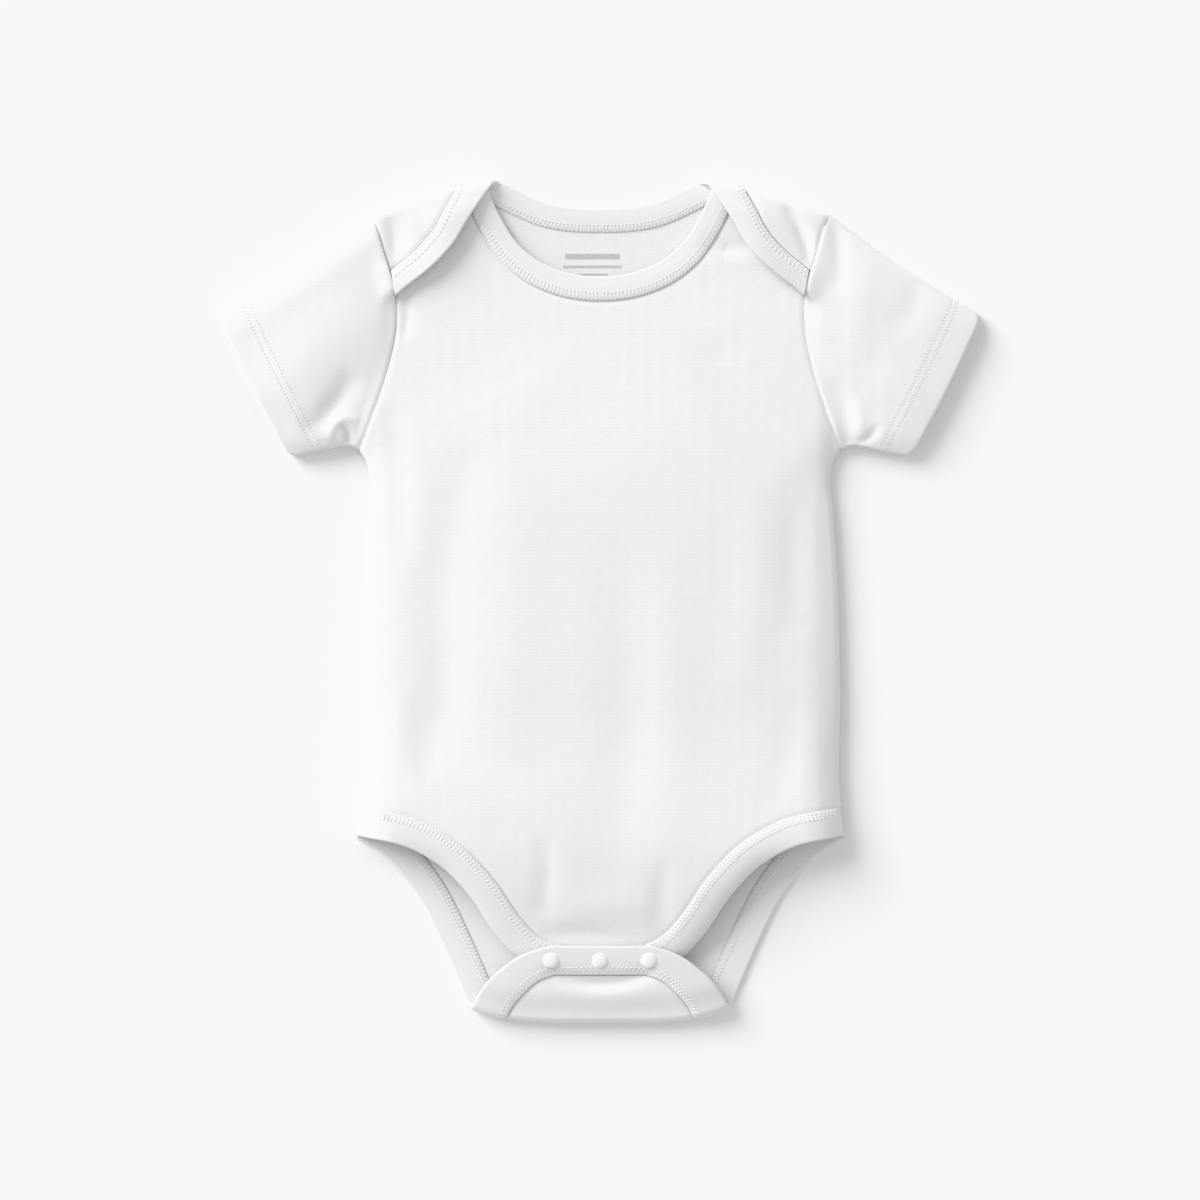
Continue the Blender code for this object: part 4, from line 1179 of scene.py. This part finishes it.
def sleeve_surface():
    """The right sleeve: rings of a flattened tube with rounded edges and a crowned upper side."""
    share, wall, from_cuff = sleeve_rings()
    width, edge, crown = sleeve_section(share)
    turn = quarter(NEAR_SLEEVE_EDGE / EDGE_ROUND)
    rise = levelling((NEAR_SLEEVE_EDGE - EDGE_ROUND) / EDGE_RISE, EDGE_POWER)
    low = edge / 2 - (edge / 2 - wall) * turn
    high = edge / 2 + (edge / 2 - wall) * turn + (crown - edge) * rise
    inwards = (NEAR_SLEEVE_EDGE + wall) / width
    even_shares = np.linspace(0, 1, SLEEVE_COLUMNS)[1:-1]
    across = inwards[:, -1:] + even_shares * (1 - 2 * inwards[:, -1:])
    one = np.ones((1, len(even_shares)))
    down = np.concatenate((inwards, across, 1 - inwards[:, ::-1],
                           1 - inwards[:, 1:], across[:, ::-1], inwards[:, :0:-1]), axis=1)
    height = np.concatenate((high, high[:, -1:] * one, high[:, ::-1],
                             low[:, 1:], wall * one, low[:, :0:-1]), axis=1)
    along = np.broadcast_to(share, down.shape)
    length = sleeve_length(down)
    along = np.where(from_cuff < 0, along, 1 - from_cuff / length)
    from_edge = np.minimum(down, 1 - down) * width
    corner = np.clip(1 - from_edge / CUFF_CORNER_OVER, 0, 1) ** 2
    along = along * (1 - CUFF_CORNER * corner / length)
    count = 2 * len(NEAR_SLEEVE_EDGE) + len(even_shares)
    upper = np.zeros(down.shape)
    upper[:, :count] = smooth(from_edge[:, :count] / UPPER_OVER)
    outer = np.where((wall == 0) & (from_cuff < 0), 1.0, 0.0)
    head = np.interp(down, *zip(*HEADS)) * (1 - smooth(along / HEAD_REACH))
    height = height - dip(along * length) * upper * outer + head * upper
    return (raised(sleeve_place(down, along), height), upper,
            np.stack(((1 - along) * length, down * width), axis=-1))


class BODYSUIT_OT_sleeves(bpy.types.Operator):
    """Make the two sleeves"""
    bl_idname = "bodysuit.sleeves"
    bl_label = "Sleeves"

    def execute(self, context):
        """A sleeve is a flattened tube, turned in at its cuff and creased on its upper side."""
        right, upper, spots = sleeve_surface()
        finish = finish_of("white_jersey_hemmed", sleeve_finish)
        for name, side in (("sleeve_left", -1), ("sleeve_right", 1)):
            points = creased(right * (side, 1, 1), SLEEVE_CREASES, upper)
            count, around = points.shape[:2]
            rings = np.arange(count * around).reshape(count, around)
            after, beside = np.roll(rings, -1, axis=0), np.roll(rings, -1, axis=1)
            faces = np.stack((rings, after, np.roll(after, -1, axis=1), beside), -1).reshape(-1, 4)
            if side > 0:
                faces = faces[:, ::-1]
            piece(name + "_cloth", points, faces.tolist(), finish, name, spots)
        return {"FINISHED"}


# ---- stitching ----
def threads(name, starts, ends, thick):
    """Many short threads in one mesh: each a six-sided spindle from its start to its end."""
    run = ends - starts
    flat = run[:, :2] / np.linalg.norm(run[:, :2], axis=1)[:, None]
    side = np.stack((-flat[:, 1], flat[:, 0], 0 * flat[:, 0]), axis=1)
    angle = np.arange(6) * math.pi / 3
    ring = (np.cos(angle)[None, :, None] * side[:, None]
            + np.sin(angle)[None, :, None] * np.array((0.0, 0.0, 1.0)))
    share, wide = np.array(SPINDLE).T[:, None, :, None, None]
    rings = (starts[:, None, None] + share * run[:, None, None]
             + wide * thick / 2 * ring[:, None])
    points = np.concatenate((starts[:, None], rings.reshape(len(starts), 18, 3), ends[:, None]),
                            axis=1)
    first = np.arange(6) + 1
    after = np.roll(first, -1)
    quads = np.concatenate([
        np.stack((first + row, after + row, after + row + 6, first + row + 6), 1)
        for row in (0, 6)])
    caps = np.concatenate((np.stack((0 * first, after, first), 1),
                           np.stack((0 * first + 19, first + 12, after + 12), 1)))
    offset = (np.arange(len(starts)) * 20)[:, None, None]
    faces = ((quads + offset).reshape(-1, 4).tolist() + (caps + offset).reshape(-1, 3).tolist())
    piece(name, points, faces, finish_of("thread", thread_finish))


def on_strip(strip, wanted, offset):
    """Places on a strip's shown side: at the wanted lengths, that far from the seam."""
    index = np.interp(wanted, lengths(strip.seam), np.arange(len(strip.seam)))
    every = np.arange(len(strip.seam))
    seam, edge = (np.stack([np.interp(index, every, line[:, axis]) for axis in (0, 1)], axis=1)
                  for line in (strip.seam, strip.edge))
    width = np.linalg.norm(edge - seam, axis=1)
    share = offset / width
    place = seam + share[:, None] * (edge - seam)
    lift = shown_lift(offset, share)
    side = np.where(turned_over(strip, seam) > 0.5, -1.0, 1.0)
    return strip.shape(place, side * lift)


def ladder(name, strip):
    """Ladder stitch beside a seam: two needle rows, with slanted rungs between them."""
    pitch = look().ladder_pitch / MM
    wanted = np.arange(pitch / 2, lengths(strip.seam)[-1] - pitch, pitch)
    parts = []
    for stitch in LADDER:
        parts.append((on_strip(strip, wanted + stitch.start * pitch, stitch.leaves),
                      on_strip(strip, wanted + stitch.end * pitch, stitch.arrives)))
    starts, ends = (np.concatenate(side) for side in zip(*parts))
    short = np.linalg.norm(ends - starts, axis=1) < 2 * (LADDER_FAR - LADDER_NEAR)
    starts, ends = starts[short], ends[short]
    starts = np.concatenate((starts, starts * (-1, 1, 1)))
    ends = np.concatenate((ends, ends * (-1, 1, 1)))
    for line in (starts, ends):
        weight = 1.0 if strip.fold is None else on_top(line)
        line[:, 2] += relief(strip.creases, line[:, 0], line[:, 1]) * weight
    threads(name, starts, ends, LADDER_THREAD)


def on_sleeve(down, from_cuff):
    """Places on the right sleeve's upper face, by share of its width and way from its cuff."""
    share = 1 - from_cuff / sleeve_length(down)
    width, edge, crown = sleeve_section(share)
    by_edge = np.minimum(down, 1 - down) * width
    height = edge + (crown - edge) * levelling((by_edge - EDGE_ROUND) / EDGE_RISE, EDGE_POWER)
    return raised(sleeve_place(down, share), height)


def hem_rows():
    """The two rows of twin needle stitch round each hem, from edge to edge of its upper face."""
    pitch = look().hem_pitch / MM
    down = np.arange(HEM_START, CUFF_WIDTH, pitch) / (CUFF_WIDTH + HEM_START)
    starts = np.concatenate([on_sleeve(down, row + 0 * down) for row in HEM_ROWS])
    ends = np.concatenate([on_sleeve(down + HEM_STITCH * pitch / CUFF_WIDTH, row + 0 * down)
                           for row in HEM_ROWS])
    for name, side in (("hem_stitches_left", -1), ("hem_stitches_right", 1)):
        turned = [creased(line * (side, 1, 1), SLEEVE_CREASES) for line in (starts, ends)]
        threads(name, *turned, HEM_THREAD)


class BODYSUIT_OT_stitches(bpy.types.Operator):
    """Sew the ladder stitch along every binding, and the rows round the sleeve hems"""
    bl_idname = "bodysuit.stitches"
    bl_label = "Stitches"

    def execute(self, context):
        """Threads stand on the shown side of each binding, and between the dents of each hem."""
        for name, strip in strips().items():
            ladder(name + "_stitches", strip)
        hem_rows()
        return {"FINISHED"}


# ---- the snaps ----
def cap_profile():
    """Radius and height of a cap: its foot, its lip, and a dome squarer than a circle."""
    rise = np.radians(np.linspace(0, 90, 9))[1:-1]
    dome = np.stack((CAP_RADIUS * (1 - 0.22 * np.sin(rise) ** 3) * np.cos(rise) ** 0.55,
                     CAP_LIP + (CAP_HEIGHT - CAP_LIP) * np.sin(rise)), axis=1)
    return np.vstack(((0.0, 0.0), (CAP_RADIUS - 0.35, 0.0), (CAP_RADIUS - 0.1, 0.08),
                      (CAP_RADIUS, CAP_LIP), dome, (0.0, CAP_HEIGHT)))


class BODYSUIT_OT_snaps(bpy.types.Operator):
    """Make the three snap caps and finish the halves below them"""
    bl_idname = "bodysuit.snaps"
    bl_label = "Snaps"

    def execute(self, context):
        """A cap is a profile of radius and height turned once: a flat foot, a lip and a dome."""
        finish = finish_of("snap_plastic", snap_finish)
        profile = cap_profile()
        turn = np.linspace(0, 2 * math.pi, CAP_SIDES, endpoint=False)
        flat = SNAP_UP - CROTCH.up - CROTCH.radius
        low = LAID + 2 * CROTCH.radius + CROTCH.rise + crotch_tilt(flat) + CAP_SEAT
        for number, across in enumerate(SNAP_ACROSS, 1):
            rings = np.stack((across + profile[1:-1, :1] * np.cos(turn),
                              SNAP_UP + profile[1:-1, :1] * np.sin(turn),
                              low + profile[1:-1, 1:] + 0 * turn), axis=-1)
            poles = np.array(((across, SNAP_UP, low), (across, SNAP_UP, low + CAP_HEIGHT)))
            points = np.concatenate((rings.reshape(-1, 3), poles))
            faces = grid_faces(len(profile) - 2, len(turn), 0, closed=True).tolist()
            last = (len(profile) - 3) * len(turn)
            after = np.roll(np.arange(len(turn)), -1)
            bottom, top = len(points) - 2, len(points) - 1
            faces += [[bottom, int(after[k]), k] for k in range(len(turn))]
            faces += [[top, last + k, last + int(after[k])] for k in range(len(turn))]
            piece(f"cap_{number}", points, faces, finish, f"snap_cap_{number}")
            for half in ("socket", "stud"):
                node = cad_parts[f"snap_{half}_{number}"]
                node.data.materials.clear()
                node.data.materials.append(finish)
        return {"FINISHED"}


# ---- the stage ----
def placed(context, name, data, place):
    """An object of the stage, at its place."""
    made = bpy.data.objects.new(name, data)
    made.location = place
    context.scene.collection.objects.link(made)
    return made


class BODYSUIT_OT_stage(bpy.types.Operator):
    """Set the floor, the lights and the camera"""
    bl_idname = "bodysuit.stage"
    bl_label = "Stage"

    def execute(self, context):
        """A wide floor, a large soft light at the upper left, even light, and a camera above."""
        mesh = bpy.data.meshes.new("floor")
        mesh.from_pydata([(across * FLOOR_REACH, up * FLOOR_REACH, FLOOR_LOW)
                          for across, up in ((-1, -1), (1, -1), (1, 1), (-1, 1))],
                         [], [(0, 1, 2, 3)])
        mesh.materials.append(finish_of("floor", floor_finish))
        placed(context, "floor", mesh, (0, 0, 0))

        key = bpy.data.lights.new("key", "SUN")
        key.angle = look().key_softness
        key.energy = look().key_strength
        lamp = placed(context, "key", key, KEY_PLACE)
        lamp.rotation_euler = (-lamp.location).to_track_quat("-Z", "Y").to_euler()

        world = bpy.data.worlds.new("even_light")
        world.use_nodes = True
        sky = world.node_tree.nodes["Background"]
        sky.inputs["Color"].default_value = (1.0, 1.0, 1.0, 1.0)
        sky.inputs["Strength"].default_value = look().sky_strength
        context.scene.world = world

        view = context.scene.view_settings
        view.view_transform = "Standard"
        view.use_curve_mapping = True
        tones = view.curve_mapping
        tones.white_level = (BRIGHTEST, BRIGHTEST, BRIGHTEST)
        tones.use_clip = False
        curve = tones.curves[3]
        curve.points[0].location = (0.0, 0.0)
        curve.points[1].location = (1.0, TONES[-1].shown)
        for tone in TONES[:-1]:
            curve.points.new(tone.light / BRIGHTEST, tone.shown)
        tones.update()

        camera = bpy.data.cameras.new("camera")
        camera.lens = LENS
        camera.sensor_width = SENSOR
        camera.clip_end = 20.0
        context.scene.camera = placed(context, "camera", camera, CAMERA_PLACE)
        return {"FINISHED"}


OPERATORS = (BODYSUIT_OT_body, BODYSUIT_OT_bindings, BODYSUIT_OT_sleeves, BODYSUIT_OT_stitches,
             BODYSUIT_OT_snaps, BODYSUIT_OT_stage)


class BODYSUIT_PT_panel(bpy.types.Panel):
    """The garment's sizes, colours and pieces"""
    bl_idname = "BODYSUIT_PT_panel"
    bl_label = "Baby bodysuit"
    bl_space_type = "VIEW_3D"
    bl_region_type = "UI"
    bl_category = "Bodysuit"

    def draw(self, context):
        """Every setting, then a button for every piece."""
        for name in BodysuitSettings.__annotations__:
            self.layout.prop(context.scene.bodysuit, name)
        for operator in OPERATORS:
            self.layout.operator(operator.bl_idname)


def register():
    """Adds the settings, the operators and the panel."""
    for made in (BodysuitSettings, *OPERATORS, BODYSUIT_PT_panel):
        bpy.utils.register_class(made)
    bpy.types.Scene.bodysuit = PointerProperty(type=BodysuitSettings)


def unregister():
    """Takes them away again."""
    del bpy.types.Scene.bodysuit
    for made in (BODYSUIT_PT_panel, *reversed(OPERATORS), BodysuitSettings):
        bpy.utils.unregister_class(made)


def main():
    """Makes every piece in order."""
    register()
    bpy.ops.bodysuit.body()
    bpy.ops.bodysuit.bindings()
    bpy.ops.bodysuit.sleeves()
    bpy.ops.bodysuit.stitches()
    bpy.ops.bodysuit.snaps()
    bpy.ops.bodysuit.stage()


if __name__ == "__main__":
    main()
